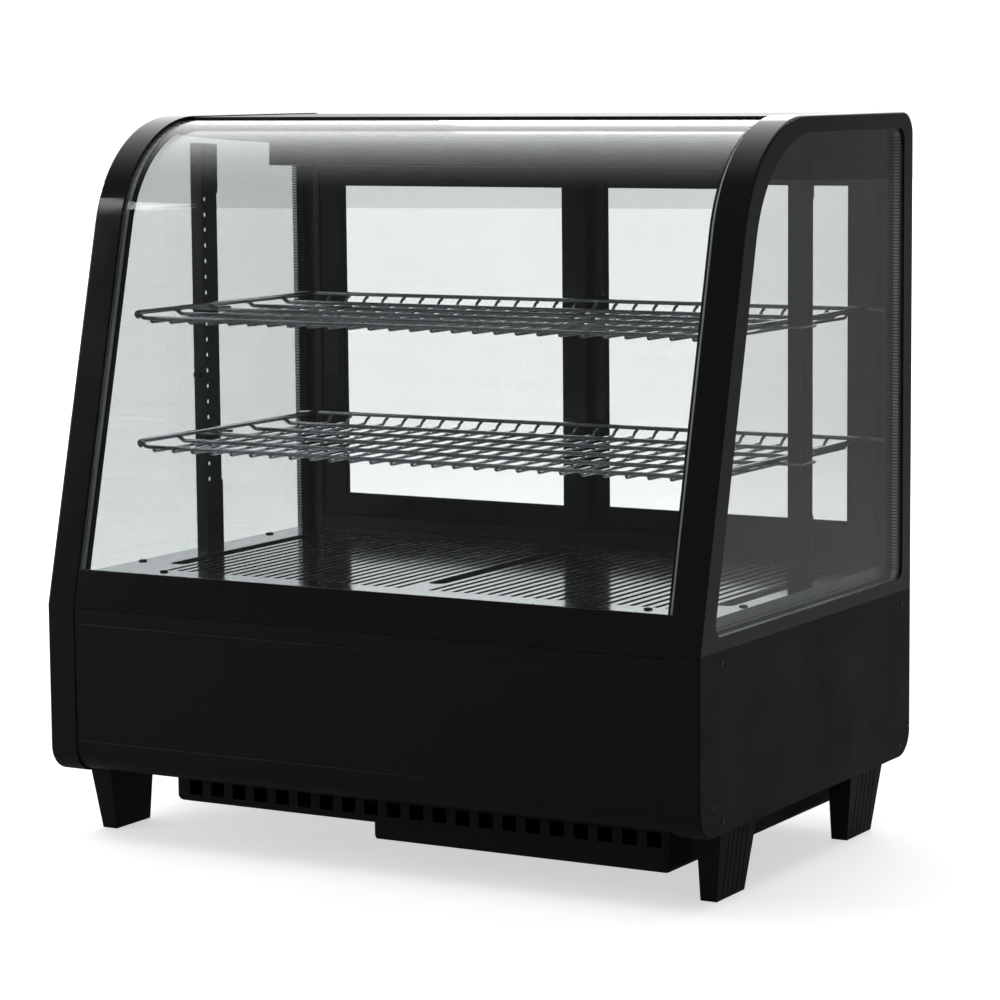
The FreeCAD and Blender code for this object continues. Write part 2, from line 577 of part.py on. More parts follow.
def move_to(thing, x, y, z):
    for axis, size in zip("xyz", (x, y, z)):
        bind(thing, f"Placement.Base.{axis}", size)


def on_side(sign, near, far):
    # The low and high X of a span given by its distances from the centre line.
    return (-far, -near) if sign < 0 else (near, far)


# ---------------------------------------------------------------- side frames and glazing

def case_top(inset):
    return case_height - inset


def window_outline(grow, rear_grow=None):
    # The side window's outline, grown outwards on every side.
    rear = half_depth - rim_rear + (grow if rear_grow is None else rear_grow)
    low = belt_height + rim_low - grow
    high = case_top(rim_top) + grow
    inset = rim_front - grow
    corner = window_corner + rebate
    return [
        (leaning_y(low, inset), low, corner),
        (rear, low, corner),
        (rear, high, corner),
        (leaning_y(high, inset), high, window_radius + grow),
    ]


def arch_outline():
    return [
        (-half_depth, belt_height),
        (half_depth, belt_height),
        (half_depth, case_height, rear_top_radius),
        (leaning_y(case_height, 0), case_height, brow_radius),
    ]


def outer_edge(sign, low):
    # Picks the long edges of a frame's outer face, apart from its joint line.
    def chosen(edge):
        box_of = edge.BoundBox
        on_face = abs(box_of.XMin - sign * half_width.value) < 0.01 and box_of.XLength < 0.01
        at_joint = box_of.ZLength < 0.01 and abs(box_of.ZMin - belt_height.value) < 0.01
        is_rim = box_of.YMin < low or box_of.YMax > half_depth.value - 1
        return on_face and not at_joint and (is_rim or box_of.ZMax > case_height.value - 1)
    return chosen


def make_side_frame(side, sign):
    body = new_body("side_frame_" + side)
    lip_low, lip_high = on_side(sign, half_width - frame_lip, half_width)
    pad(body, "YZ_Plane", lip_low, frame_lip, [arch_outline(), window_outline(0)])
    deep_low, deep_high = on_side(sign, frame_inner, half_width - frame_lip)
    pad(body, "YZ_Plane", deep_low, deep_high - deep_low, [arch_outline(), window_outline(rebate)])
    round_edges(body, frame_round, outer_edge(sign, 1 - half_depth.value))
    finish("side_frame_" + side, body)


def make_side_glass(side, sign):
    outer_far = half_width - frame_lip
    outer_near = outer_far - side_pane
    inner_far = outer_near - side_gap
    inner_near = inner_far - side_pane
    pane = window_outline(rebate - glass_fit)
    for name, near, far in (("outer", outer_near, outer_far), ("inner", inner_near, inner_far)):
        body = new_body(f"side_glass_{name}_{side}")
        low, high = on_side(sign, near, far)
        pad(body, "YZ_Plane", low, high - low, [pane])
        finish(f"side_glass_{name}_{side}", body)


def make_side_spacer(side, sign):
    far = half_width - frame_lip - side_pane
    body = new_body("side_spacer_" + side)
    low, high = on_side(sign, far - side_gap, far)
    clear = window_outline(glass_fit, -spacer_show)
    pad(body, "YZ_Plane", low, high - low, [window_outline(rebate - glass_fit), clear])
    return body


def curved_band(outer_inset, thickness, low, roof_end):
    # The section of a sheet that leans, curves over the brow and runs on under the roof.
    inner_inset = outer_inset + thickness
    outer_top = case_top(outer_inset)
    inner_top = case_top(inner_inset)
    return [
        (leaning_y(low, outer_inset), low),
        (leaning_y(low, inner_inset), low),
        (leaning_y(inner_top, inner_inset), inner_top, brow_radius - inner_inset),
        (roof_end, inner_top),
        (roof_end, outer_top),
        (leaning_y(outer_top, outer_inset), outer_top, brow_radius - outer_inset),
    ]


def make_front_glass():
    low = belt_height + glass_lift
    roof_end = brow_end + roof_core_start - glass_roof_gap
    outer_inset = glass_recess
    inner_inset = glass_recess + front_pane + front_gap
    half = panel_half
    for name, inset in (("outer", outer_inset), ("inner", inner_inset)):
        body = new_body("front_glass_" + name)
        pad(body, "YZ_Plane", -half, half * 2, [curved_band(inset, front_pane, low, roof_end)])
        finish("front_glass_" + name, body)
    bars = []
    for side, sign in SIDES.items():
        body = new_body("front_spacer_" + side)
        near = half - front_spacer_inset - front_spacer
        start, end = on_side(sign, near, near + front_spacer)
        band = curved_band(outer_inset + front_pane, front_gap, low, roof_end)
        pad(body, "YZ_Plane", start, end - start, [band])
        bars.append(body)
    return bars


for side_name, side_sign in SIDES.items():
    make_side_frame(side_name, side_sign)
    make_side_glass(side_name, side_sign)
spacer_bars = make_front_glass()
spacer_bars += [make_side_spacer(side_name, side_sign) for side_name, side_sign in SIDES.items()]
group("glass_spacers", spacer_bars)


# ---------------------------------------------------------------- base panels, trim and roof

def base_outline(inset):
    return [
        (inset - half_depth, foot_height + inset, low_radius - inset),
        (half_depth - inset, foot_height + inset, low_radius - inset),
        (half_depth - inset, belt_height - inset),
        (inset - half_depth, belt_height - inset),
    ]


def make_end_panel(side, sign):
    body = new_body("end_panel_" + side)
    low, high = on_side(sign, half_width - shell_wall, half_width)
    pad(body, "YZ_Plane", low, shell_wall, [base_outline(0)])
    low, high = on_side(sign, frame_inner, half_width - shell_wall)
    pad(body, "YZ_Plane", low, high - low, [base_outline(0), base_outline(shell_wall)])

    def chosen(edge):
        box_of = edge.BoundBox
        on_face = abs(box_of.XMin - sign * half_width.value) < 0.01 and box_of.XLength < 0.01
        return on_face and box_of.ZMin < belt_height.value - 1

    round_edges(body, frame_round, chosen)
    finish("end_panel_" + side, body)


def make_front_panel():
    # A moulded skin with two fine groove lines, turned under the case at the bottom.
    front = panel_recess - half_depth
    back = front + shell_wall
    low = foot_height + panel_lift
    top = belt_height - panel_drop
    under = front + panel_tuck
    outline = [(under, low), (under, low + shell_wall), (back, low + shell_wall, low_radius - shell_wall)]
    outline += [(back, top), (front, top)]
    for height in (belt_height - groove_drop, foot_height + groove_lift):
        outline += [(front, height + groove_size), (front + groove_size, height)]
        outline += [(front, height - groove_size)]
    outline += [(front, low, low_radius)]
    body = new_body("front_panel")
    pad(body, "YZ_Plane", -panel_half, panel_half * 2, [outline])
    finish("front_panel", body)


def make_front_trim():
    low = belt_height - trim_tuck
    trim_top = belt_height + trim_height
    inner = trim_recess + trim_wall
    outline = [
        (leaning_y(low, trim_recess), low),
        (leaning_y(low, inner), low),
        (leaning_y(trim_top, inner), trim_top),
        (leaning_y(trim_top, trim_recess), trim_top),
    ]
    body = new_body("front_trim")
    pad(body, "YZ_Plane", -panel_half, panel_half * 2, [outline])
    finish("front_trim", body)


def make_roof():
    # One filled panel: a thin lip over the curved glass, full thickness behind it.
    top = case_top(roof_recess)
    rear = rear_front
    body = new_body("roof_panel")
    box(body, (-panel_half, brow_end - roof_lip, top - roof_sheet), (panel_half, rear, top))
    core_front = brow_end + roof_core_start
    box(body, (-panel_half, core_front, top - roof_core), (panel_half, rear, top - roof_sheet))
    finish("roof_panel", body)


def make_lamp():
    top = case_top(roof_recess) - roof_core
    lamp_under = top - lamp_tall
    lamp_half = panel_half - lamp_end_gap
    lamp_rear = rear_front - lamp_rear_gap
    body = new_body("lamp_housing")
    low = (-lamp_half, lamp_front, lamp_under)
    box(body, low, (lamp_half, lamp_rear, top))
    inner_low = (lamp_wall - lamp_half, lamp_front + lamp_wall, lamp_under)
    inner_high = (lamp_half - lamp_wall, lamp_rear - lamp_wall, top - lamp_wall)
    box(body, inner_low, inner_high, cut=True)
    finish("lamp_housing", body)
    cover = new_body("lamp_diffuser")
    box(cover, inner_low, (inner_high[0], inner_high[1], lamp_under + lamp_wall))
    finish("lamp_diffuser", cover)


for side_name, side_sign in SIDES.items():
    make_end_panel(side_name, side_sign)
make_front_panel()
make_front_trim()
make_roof()
make_lamp()


# ---------------------------------------------------------------- rear frame and sliding doors

opening_half = panel_half - door_jamb
door_low = door_sill + track_base + door_play
door_high = door_head - track_base - door_lift
door_edge = opening_half - door_play
window_outer = door_edge - door_stile
window_low = door_low + door_rail_low
window_high = door_high - door_rail_high


def rectangle(left, right, low, high):
    return [(left, low), (right, low), (right, high), (left, high)]


def pad_deep(body, near, far, outlines):
    # Outlines drawn in X and Z, extruded between two depths.
    return pad(body, "XZ_Plane", -far, far - near, outlines)


def channel_front(index):
    # The front face of one door channel; channel 0 is the one nearer the shelves.
    return rear_front + track_wall + (track_wall + track_channel) * index


def make_rear_frame():
    body = new_body("rear_frame")
    top = case_top(rear_recess)
    low = foam_top
    profile = [(rear_front, low), (rear_face, low), (rear_face, top, rear_top_radius - rear_recess)]
    profile += [(rear_front, top)]
    pad(body, "YZ_Plane", -panel_half, panel_half * 2, [profile])
    corner = (-opening_half, rear_front - 1, door_sill)
    box(body, corner, (opening_half, rear_face + 1, door_head), cut=True)
    finish("rear_frame", body)


def make_track(name, base_low, fin_low, fin_high):
    body = new_body(name)
    back = channel_front(2)
    box(body, (-opening_half, rear_front, base_low), (opening_half, back, base_low + track_base))
    for index in range(3):
        front = channel_front(index) - track_wall
        box(body, (-opening_half, front, fin_low), (opening_half, front + track_wall, fin_high))
    finish(name, body)


def make_door(side, sign, channel):
    middle = channel_front(channel) + track_channel / 2
    front = middle - door_thick / 2
    pane_front = middle - door_pane / 2
    left, right = on_side(sign, -door_overlap / 2, door_edge)
    frame = rectangle(left, right, door_low, door_high)
    near, far = on_side(sign, window_inner, window_outer)
    window = rectangle(near, far, window_low, window_high)
    bitten = rectangle(near - door_bite, far + door_bite, window_low - door_bite, window_high + door_bite)
    layers = (
        (front, pane_front, window),
        (pane_front, pane_front + door_pane, bitten),
        (pane_front + door_pane, front + door_thick, window),
    )
    cup = (window_outer + door_bite + door_edge) / 2
    cup_low, cup_high = on_side(sign, cup - handle_width / 2, cup + handle_width / 2)
    bottom = door_low + handle_lift - handle_length / 2
    body = new_body("door_" + side)
    for start, end, hole in layers:
        pad_deep(body, start, end, [frame, hole])
    low = (cup_low - handle_fit, front - 1, bottom - handle_fit)
    high = (cup_high + handle_fit, front + door_thick + 1, bottom + handle_length + handle_fit)
    box(body, low, high, cut=True)
    finish("door_" + side, body)

    glass = new_body("door_glass_" + side)
    low = (near - door_bite, pane_front, window_low - door_bite)
    box(glass, low, (far + door_bite, pane_front + door_pane, window_high + door_bite))
    finish("door_glass_" + side, glass)

    handle = new_body("door_handle_" + side)
    high = (cup_high, front + door_thick, bottom + handle_length)
    box(handle, (cup_low, front, bottom), high)
    low = (cup_low + handle_wall, front + handle_wall, bottom + handle_wall)
    high = (cup_high - handle_wall, front + door_thick + 1, bottom + handle_length - handle_wall)
    box(handle, low, high, cut=True)
    lip = handle_fit
    inner = on_side(sign, cup - handle_width / 2 - lip, cup - handle_width / 2)
    box(handle, (inner[0], front + door_thick - lip, bottom), (inner[1], front + door_thick, high[2]))
    finish("door_handle_" + side, handle)


make_rear_frame()
make_track("door_track_bottom", door_sill, door_sill + track_base, door_sill + track_base + track_low_fin)
top_track = door_head - track_base
make_track("door_track_top", top_track, top_track - track_top_fin, top_track)
make_door("left", -1, 0)
make_door("right", 1, 1)


# ---------------------------------------------------------------- posts, clips and shelves

post_outer = glass_inner_face - clip_wire * 2 - clip_gap * 2
post_inner = post_outer - post_width
post_rear = post_front + post_depth
post_hole_low = deck_top + post_hole_start
post_hole_count = whole((post_top - post_sleeve_high - post_hole_low) / post_hole_pitch) + 1
rail_half = post_inner - rail_post_gap
upper_shelf = post_hole_low + post_hole_pitch * high_hole
rail_front = -leaning_y(upper_shelf, front_glass_back) - rail_front_gap
rail_rear = rear_front - rail_rear_gap
wire_count = whole((rail_half - wire_margin) * 2 / wire_pitch) + 1
cross_count = whole((rail_front + rail_rear - rail_rise) / cross_pitch) + 1


def hole_height(index):
    return post_hole_low + post_hole_pitch * index


def make_post(side, sign):
    body = new_body("post_" + side)
    near = post_inner + post_wall
    channel = [
        (post_inner, post_front),
        (post_outer, post_front),
        (post_outer, post_front + post_wall),
        (near, post_front + post_wall),
        (near, post_rear - post_wall),
        (post_outer, post_rear - post_wall),
        (post_outer, post_rear),
        (post_inner, post_rear),
    ]
    pad(body, "XY_Plane", deck_top, post_top - deck_top, [[(u * sign, v) for u, v in channel]])
    low, high = on_side(sign, post_inner, post_outer)
    sleeve_top = deck_top + post_sleeve_low
    box(body, (low, post_rear, deck_top), (high, post_rear + post_sleeve, sleeve_top))
    sleeve_base = post_top - post_sleeve_high
    box(body, (low, post_rear, sleeve_base), (high, post_rear + post_sleeve, post_top))
    start = on_side(sign, post_inner - 1, post_inner + post_wall + 1)[0]
    place = (start, post_front + post_hole_inset, post_hole_low)
    hole = cylinder(body, "X", place, post_hole, post_wall + 2, cut=True)
    repeat(body, hole, "Z", post_hole_pitch, post_hole_count)
    finish("post_" + side, body)


def make_post_stops():
    stops = []
    for side, sign in SIDES.items():
        body = new_body("post_stop_" + side)
        low, high = on_side(sign, post_inner + post_wall * 2, post_outer - post_wall)
        tall = post_hole * 2
        stop_height = deck_top + stop_lift
        box(body, (low, post_front - post_sleeve * 2, stop_height - tall), (high, post_front, stop_height))
        stops.append(body)
    group("post_stops", stops)


def bent_wire(points, radius, bend):
    # A round wire along straight runs joined by tangent arcs.
    points = [FreeCAD.Vector(*(number_of(value) for value in point)) for point in points]
    edges = []
    start = points[0]
    for before, corner, after in zip(points, points[1:], points[2:]):
        inward = (corner - before).normalize()
        onward = (after - corner).normalize()
        reach = bend * math.tan(inward.getAngle(onward) / 2)
        first = corner - inward * reach
        last = corner + onward * reach
        centre = first + (onward - inward * inward.dot(onward)).normalize() * bend
        middle = centre + (corner - centre).normalize() * bend
        edges.append(Part.LineSegment(start, first).toShape())
        edges.append(Part.Arc(first, middle, last).toShape())
        start = last
    edges.append(Part.LineSegment(start, points[-1]).toShape())
    heading = (points[1] - points[0]).normalize()
    ring = Part.Wire([Part.makeCircle(radius, points[0], heading)])
    return Part.Wire(edges).makePipeShell([ring], True, False)


def straight_wire(start, end, radius):
    start = FreeCAD.Vector(*(number_of(value) for value in start))
    end = FreeCAD.Vector(*(number_of(value) for value in end))
    return Part.makeCylinder(radius, (end - start).Length, start, end - start)


def shaped(name, shape):
    thing = document.addObject("Part::Feature", name)
    thing.Shape = shape
    thing.Placement = FreeCAD.Placement()
    return thing


def make_clips(name, height):
    clips = []
    reach = clip_wire.value + clip_gap.value
    front = post_front - reach
    rear = post_rear + reach
    outer = post_outer + reach
    inner = rail_half - rail_radius * 2
    bar = post_inner - reach * 2
    for side, sign in SIDES.items():
        loop = [(inner * sign, front), (outer * sign, front), (outer * sign, rear), (inner * sign, rear)]
        wire = bent_wire([(x, y, height) for x, y in loop], clip_wire.value, reach)
        ends = (bar * sign, front, height), (bar * sign, rear, height)
        across = straight_wire(*ends, clip_bar.value)
        tooth_y = post_front + post_hole_inset
        tip = post_inner + post_wall * 2
        ends = (bar * sign, tooth_y, height), (tip * sign, tooth_y, height)
        tooth = straight_wire(*ends, clip_tooth.value)
        clips.append(shaped(f"{name}_{side}", wire.multiFuse([across, tooth])))
    group(name, clips)


def make_shelf(name, clip_height):
    # A welded rack: thin wires front to back, thicker wires across on them, raised side and rear rails.
    rail = rail_radius.value
    thin = wire_radius.value
    rail_level = clip_height + clip_wire + clip_gap + rail_radius
    level = rail_level - rail_rise
    cross_level = level + thin + rail - cross_thinner.value
    rise_start = rail_rear - rail_rise
    wires = []
    for index in range(int(wire_count.value)):
        x = wire_pitch * (index - (wire_count.value - 1) / 2)
        path = [(x, -rail_front - rail, level), (x, rise_start, level), (x, rail_rear, rail_level)]
        wires.append(bent_wire(path, thin, 4 * thin))
    for index in range(int(cross_count.value)):
        y = cross_pitch * index - rail_front
        turn_in = rail_half - rail_rise
        ends = [(-rail_half, y, rail_level), (-turn_in, y, cross_level)]
        ends += [(turn_in, y, cross_level), (rail_half, y, rail_level)]
        wires.append(bent_wire(ends, rail - cross_thinner.value, 3 * rail))
    for sign in SIDES.values():
        x = rail_half * sign
        front = -rail_front - rail
        wires.append(straight_wire((x, front, rail_level), (x, rail_rear + rail, rail_level), rail))
    tip = rail_half + prong_reach
    rear = rail - tip_thinner.value
    wires.append(straight_wire((-tip, rail_rear, rail_level), (tip, rail_rear, rail_level), rear))
    rack = wires[0].multiFuse(wires[1:])
    finish(name, shaped(name, rack.Solids[0] if len(rack.Solids) == 1 else rack))


for side_name, side_sign in SIDES.items():
    make_post(side_name, side_sign)
make_post_stops()
for level_name, hole_index in (("upper", high_hole), ("lower", low_hole)):
    make_clips("shelf_clips_" + level_name, hole_height(hole_index))
    make_shelf("shelf_" + level_name, hole_height(hole_index))


# ---------------------------------------------------------------- deck, cold tub and insulation

deck_front = leaning_y(deck_top, rim_front - rebate + glass_fit)
deck_rear = rear_front - deck_rear_gap
deck_half = glass_inner_face - deck_side_gap
slot_front = deck_front + slot_front_margin
slot_rear = deck_rear - slot_rear_margin
slot_count = whole((deck_half - slot_side_margin) / slot_pitch) - 2
tub_half = panel_half - foam_gap - foam_wall
tub_front = leaning_y(foam_top, front_glass_back) + foam_gap + foam_wall
tub_rear = rear_front - foam_wall
tub_deep = deck_top - deck_sheet - tub_deep_drop
tub_shallow = deck_top - deck_sheet - tub_shallow_drop


def make_deck():
    body = new_body("deck_plate")
    under = deck_top - deck_sheet
    front = deck_front
    box(body, (-deck_half, front, under), (deck_half, deck_rear, deck_top))
    skirt_low = belt_height + rim_low - rebate
    skirt_front = front + rim_front
    for sign in SIDES.values():
        low, high = on_side(sign, deck_half - deck_sheet, deck_half)
        box(body, (low, skirt_front, skirt_low), (high, deck_rear, under))
    below = under - 1
    above = deck_top + 1
    field = slot_pitch * (slot_count + 2)
    for start in (wide_slot_shift - field, wide_slot_shift):
        middle = start + slot_pitch * 1.5
        low = (middle - slot_width / 2, slot_front, below)
        slot = box(body, low, (middle + slot_width / 2, slot_rear, above), cut=True)
        repeat(body, slot, "X", slot_pitch, slot_count)
    radius = wide_slot / 2
    for middle in (wide_slot_shift - field, wide_slot_shift, wide_slot_shift + field):
        ends = (deck_front + wide_slot_margin + radius, slot_rear - radius)
        low = (middle - radius, ends[0], below)
        box(body, low, (middle + radius, ends[1], above), cut=True)
        for end in ends:
            cylinder(body, "Z", (middle, end, below), radius, above - below, cut=True)
    finish("deck_plate", body)


def tub_boxes(body, grow, top, cut=False):
    # The tub's two-level shape, grown outwards on every side but the top.
    front = tub_front - grow
    rear = tub_rear + grow
    deep_low = (-tub_half - grow, front, tub_deep - grow)
    box(body, deep_low, (grow - tub_step, rear, top), cut)
    shallow_low = (-tub_step - tub_wall * 2, front, tub_shallow - grow)
    box(body, shallow_low, (tub_half + grow, rear, top), cut)


def make_tub():
    top = deck_top - deck_sheet
    body = new_body("cold_tub")
    tub_boxes(body, as_size(0), top)
    tub_boxes(body, -tub_wall, top + 1, cut=True)
    finish("cold_tub", body)
    foam = new_body("tub_foam")
    tub_boxes(foam, foam_wall, foam_top)
    tub_boxes(foam, as_size(0), foam_top + 1, cut=True)
    finish("tub_foam", foam)


def make_coil(name, low, high, fin_pitch, tube_rows, end_drop):
    # A finned coil: thin plates across tubes that run along X, between two end plates.
    low = [number_of(value) for value in low]
    high = [number_of(value) for value in high]
    size = [top - bottom for bottom, top in zip(low, high)]
    fin = fin_sheet.value
    pieces = []
    count = int(size[0] // number_of(fin_pitch))
    for index in range(count + 1):
        x = low[0] + (size[0] - fin) * index / count
        drop = number_of(end_drop) if index in (0, count) else 0
        corner = FreeCAD.Vector(x, low[1], low[2] - drop)
        pieces.append(Part.makeBox(fin, size[1], size[2] + drop, corner))
    for row in range(tube_rows):
        for column in range(2):
            y = low[1] + size[1] * (column + 0.5) / 2
            z = low[2] + size[2] * (row + 0.5) / tube_rows
            start = FreeCAD.Vector(low[0], y, z)
            pieces.append(Part.makeCylinder(coil_tube.value, size[0], start, FreeCAD.Vector(1, 0, 0)))
    finish(name, shaped(name, pieces[0].multiFuse(pieces[1:])))


def make_rotor(name, tip_radius, hub_radius, hub_height, chord, blades, place, turn):
    # A moulded fan about its own Z axis, bored for its shaft, then put in its place.
    body = new_body(name)
    cylinder(body, "Z", (0, 0, 0), hub_radius, hub_height)
    pitch = FreeCAD.Rotation(FreeCAD.Vector(1, 0, 0), blade_angle.value)
    blade = body.newObject("PartDesign::AdditiveBox", body.Name + "_blade")
    bind(blade, "Length", tip_radius - hub_radius + blade_bite)
    bind(blade, "Width", chord)
    bind(blade, "Height", blade_wall)
    middle = pitch.multVec(FreeCAD.Vector(0, number_of(chord) / 2, blade_wall.value / 2))
    blade.Placement = FreeCAD.Placement(FreeCAD.Vector(0, -middle.y, 0), pitch)
    bind(blade, "Placement.Base.x", hub_radius - blade_bite)
    bind(blade, "Placement.Base.z", hub_height / 2 - middle.z)
    turn_about(body, blade, "Z", blades)
    cylinder(body, "Z", (0, 0, -1), fan_shaft + pin_fit, hub_height + 2, cut=True)
    body.Placement = FreeCAD.Placement(FreeCAD.Vector(), turn)
    move_to(body, *place)
    finish(name, body)


fan_front = tub_front + tub_wall
fan_rear = fan_front + room_fan_frame


def make_room_fan():
    middle = (-tub_half - tub_step) / 2
    depth = (fan_front + fan_rear) / 2
    half = room_fan_frame / 2
    floor = deck_top - deck_sheet - room_fan_drop
    plate_top = floor + room_fan_plate
    body = new_body("evaporator_fan_frame")
    box(body, (middle - half, fan_front, floor), (middle + half, fan_rear, floor + room_fan_deep))
    bore = room_fan_radius + tip_gap
    cylinder(body, "Z", (middle, depth, floor - 1), bore, room_fan_deep + 2, cut=True)
    cylinder(body, "Z", (middle, depth, floor), room_fan_hub, room_fan_plate)
    arm = room_fan_plate
    box(body, (middle - half, depth - arm, floor), (middle + half, depth + arm, plate_top))
    cylinder(body, "Z", (middle, depth, floor), fan_shaft, room_fan_deep - room_fan_plate)
    finish("evaporator_fan_frame", body)
    name = "evaporator_fan_rotor"
    rotor_tall = room_fan_deep - room_fan_plate * 2 - rotor_gap * 2
    place = (middle, depth, plate_top + rotor_gap)
    make_rotor(name, room_fan_radius, room_fan_hub, rotor_tall, room_blade, 7, place, TURNS["Z"])


def make_evaporator():
    floor = tub_deep + tub_wall
    low = (evaporator_end_gap - tub_half, fan_rear + evaporator_gap, floor)
    high = (-tub_step - evaporator_step_gap, tub_rear - evaporator_rear_gap, floor + evaporator_tall)
    make_coil("evaporator", low, high, cold_fin_pitch, 2, 0)


make_deck()
make_tub()
make_evaporator()
make_room_fan()


# ---------------------------------------------------------------- base pan and condensing unit

pan_flange = foot_height + panel_lift
pan_deep = foot_height - pan_deep_drop
pan_shallow = foot_height - pan_shallow_drop
pan_floor = pan_deep + pan_wall
pan_front = panel_recess - half_depth + panel_tuck + pan_front_gap
rear_panel_back = half_depth - grille_inset
grille_front = rear_panel_back - shell_wall
pan_flange_rear = grille_front - glass_fit
pan_rear = pan_flange_rear - pan_rear_margin
pan_left = panel_half - pan_left_margin
pan_right = panel_half - pan_right_margin
foam_under = tub_shallow - foam_wall
condenser_low = pan_floor + condenser_lift
condenser_high = foam_under - condenser_head_gap
condenser_half = (condenser_high - condenser_low) / 2
condenser_front = grille_front - condenser_rear_gap - condenser_deep
heat_fan_height = condenser_low + condenser_half
heat_fan_radius = condenser_half - tip_gap - shroud_edge
pot_low = pan_floor + mount_tall + foot_plate
pot_top = foam_under - pot_head_gap - stub_rise
outlet_height = pot_top - outlet_drop


def make_base_pan():
    body = new_body("base_pan")
    deep = (-pan_step, pan_right, pan_deep)
    shallow = (-pan_left, -pan_step, pan_shallow)
    for left, right, under in (deep, shallow):
        box(body, (left, pan_front, under), (right, pan_rear, pan_flange))

    def chosen(edge):
        span = edge.BoundBox
        at_step = span.XMin > -pan_step.value - 1 and span.XMax < 1 - pan_step.value
        return span.ZMin < pan_shallow.value + 1 and not at_step

    round_edges(body, pan_round, chosen)
    low = (-panel_half, pan_front, pan_flange)
    box(body, low, (panel_half, pan_flange_rear, pan_flange + pan_wall))
    top = pan_flange + pan_wall + 1
    front = pan_front + pan_wall
    rear = pan_rear - pan_wall
    left, right, under = shallow
    low = (left + pan_wall, front, under + pan_wall)
    box(body, low, (right + pan_wall * 2, rear, top), cut=True)
    left, right, under = deep
    low = (left + pan_wall, front, under + pan_wall)
    box(body, low, (right - pan_wall, rear, top), cut=True)
    start = vent_margin - pan_left
    low = (start, pan_front - 1, pan_shallow + vent_low_gap)
    vent = box(body, low, (start + vent_width, front + 1, pan_flange - vent_high_gap), cut=True)
    vent_count = whole((pan_left + pan_right - vent_margin * 2) / vent_pitch) + 1
    repeat(body, vent, "X", vent_pitch, vent_count)
    finish("base_pan", body)


def make_compressor():
    half_x = pot_radius + foot_plate_reach
    half_y = pot_radius - foot_plate_inset
    body = new_body("compressor")
    low = (pot_place - half_x, -pot_front - half_y, pot_low - foot_plate)
    box(body, low, (pot_place + half_x, half_y - pot_front, pot_low))
    cylinder(body, "Z", (pot_place, -pot_front, pot_low), pot_radius, pot_top - pot_low)

    def chosen(edge):
        return abs(edge.BoundBox.ZMin - number_of(pot_top)) < 0.01

    round_edges(body, pot_round, chosen)
    terminal_low = pot_low + terminal_lift
    low = (pot_place + pot_radius - terminal_bite, -pot_front - terminal_half, terminal_low)
    high = (pot_place + pot_radius + terminal_reach, terminal_half - pot_front, terminal_low + terminal_tall)
    box(body, low, high)
    cylinder(body, "Z", (pot_place, -pot_front, pot_top - stub_root), stub_radius, stub_root + stub_rise)
    cylinder(body, "Y", (pot_place, -pot_front, outlet_height), stub_radius, pot_radius + stub_reach)
    finish("compressor", body)
    grommets = []
    for sign_x in (-1, 1):
        for sign_y in (-1, 1):
            x = pot_place + (half_x - mount_inset) * sign_x
            y = (half_y - mount_inset) * sign_y - pot_front
            grommet = new_body("grommet")
            cylinder(grommet, "Z", (x, y, pan_floor), mount_radius, mount_tall)
            grommets.append(grommet)
    group("compressor_mounts", grommets)


def make_condenser():
    low = (heat_fan_place - condenser_left, condenser_front, condenser_low)
    high = (heat_fan_place + condenser_right, condenser_front + condenser_deep, condenser_high)
    make_coil("condenser", low, high, hot_fin_pitch, 4, condenser_lift)
    bore = heat_fan_radius + tip_gap
    shroud = new_body("condenser_fan_shroud")
    corner = (heat_fan_place - condenser_half, condenser_front - shroud_sheet, condenser_low)
    box(shroud, corner, (heat_fan_place + condenser_half, condenser_front, condenser_high))
    motor_face = condenser_front - shroud_collar
    centre = (heat_fan_place, motor_face, heat_fan_height)
    cylinder(shroud, "Y", centre, bore + shroud_sheet, shroud_collar)
    centre = (heat_fan_place, motor_face - 1, heat_fan_height)
    cylinder(shroud, "Y", centre, bore, shroud_collar + 2, cut=True)
    finish("condenser_fan_shroud", shroud)


def make_heat_fan():
    motor_face = condenser_front - shroud_collar
    motor = new_body("condenser_fan_motor")
    centre = (heat_fan_place, motor_face - motor_length, heat_fan_height)
    cylinder(motor, "Y", centre, motor_radius, motor_length)
    reach = heat_fan_radius + tip_gap + shroud_sheet
    for across, up in ((reach, motor_arm), (motor_arm, reach)):
        corner = (heat_fan_place - across, motor_face - motor_arm, heat_fan_height - up)
        box(motor, corner, (heat_fan_place + across, motor_face, heat_fan_height + up))
    centre = (heat_fan_place, motor_face, heat_fan_height)
    cylinder(motor, "Y", centre, fan_shaft, shroud_collar - motor_shaft_gap)
    finish("condenser_fan_motor", motor)
    place = (heat_fan_place, motor_face + heat_rotor_gap, heat_fan_height)
    name = "condenser_fan_rotor"
    tall = shroud_collar - heat_rotor_gap - rotor_end_gap
    make_rotor(name, heat_fan_radius, heat_fan_hub, tall, heat_blade, 5, place, TURNS["Y"])


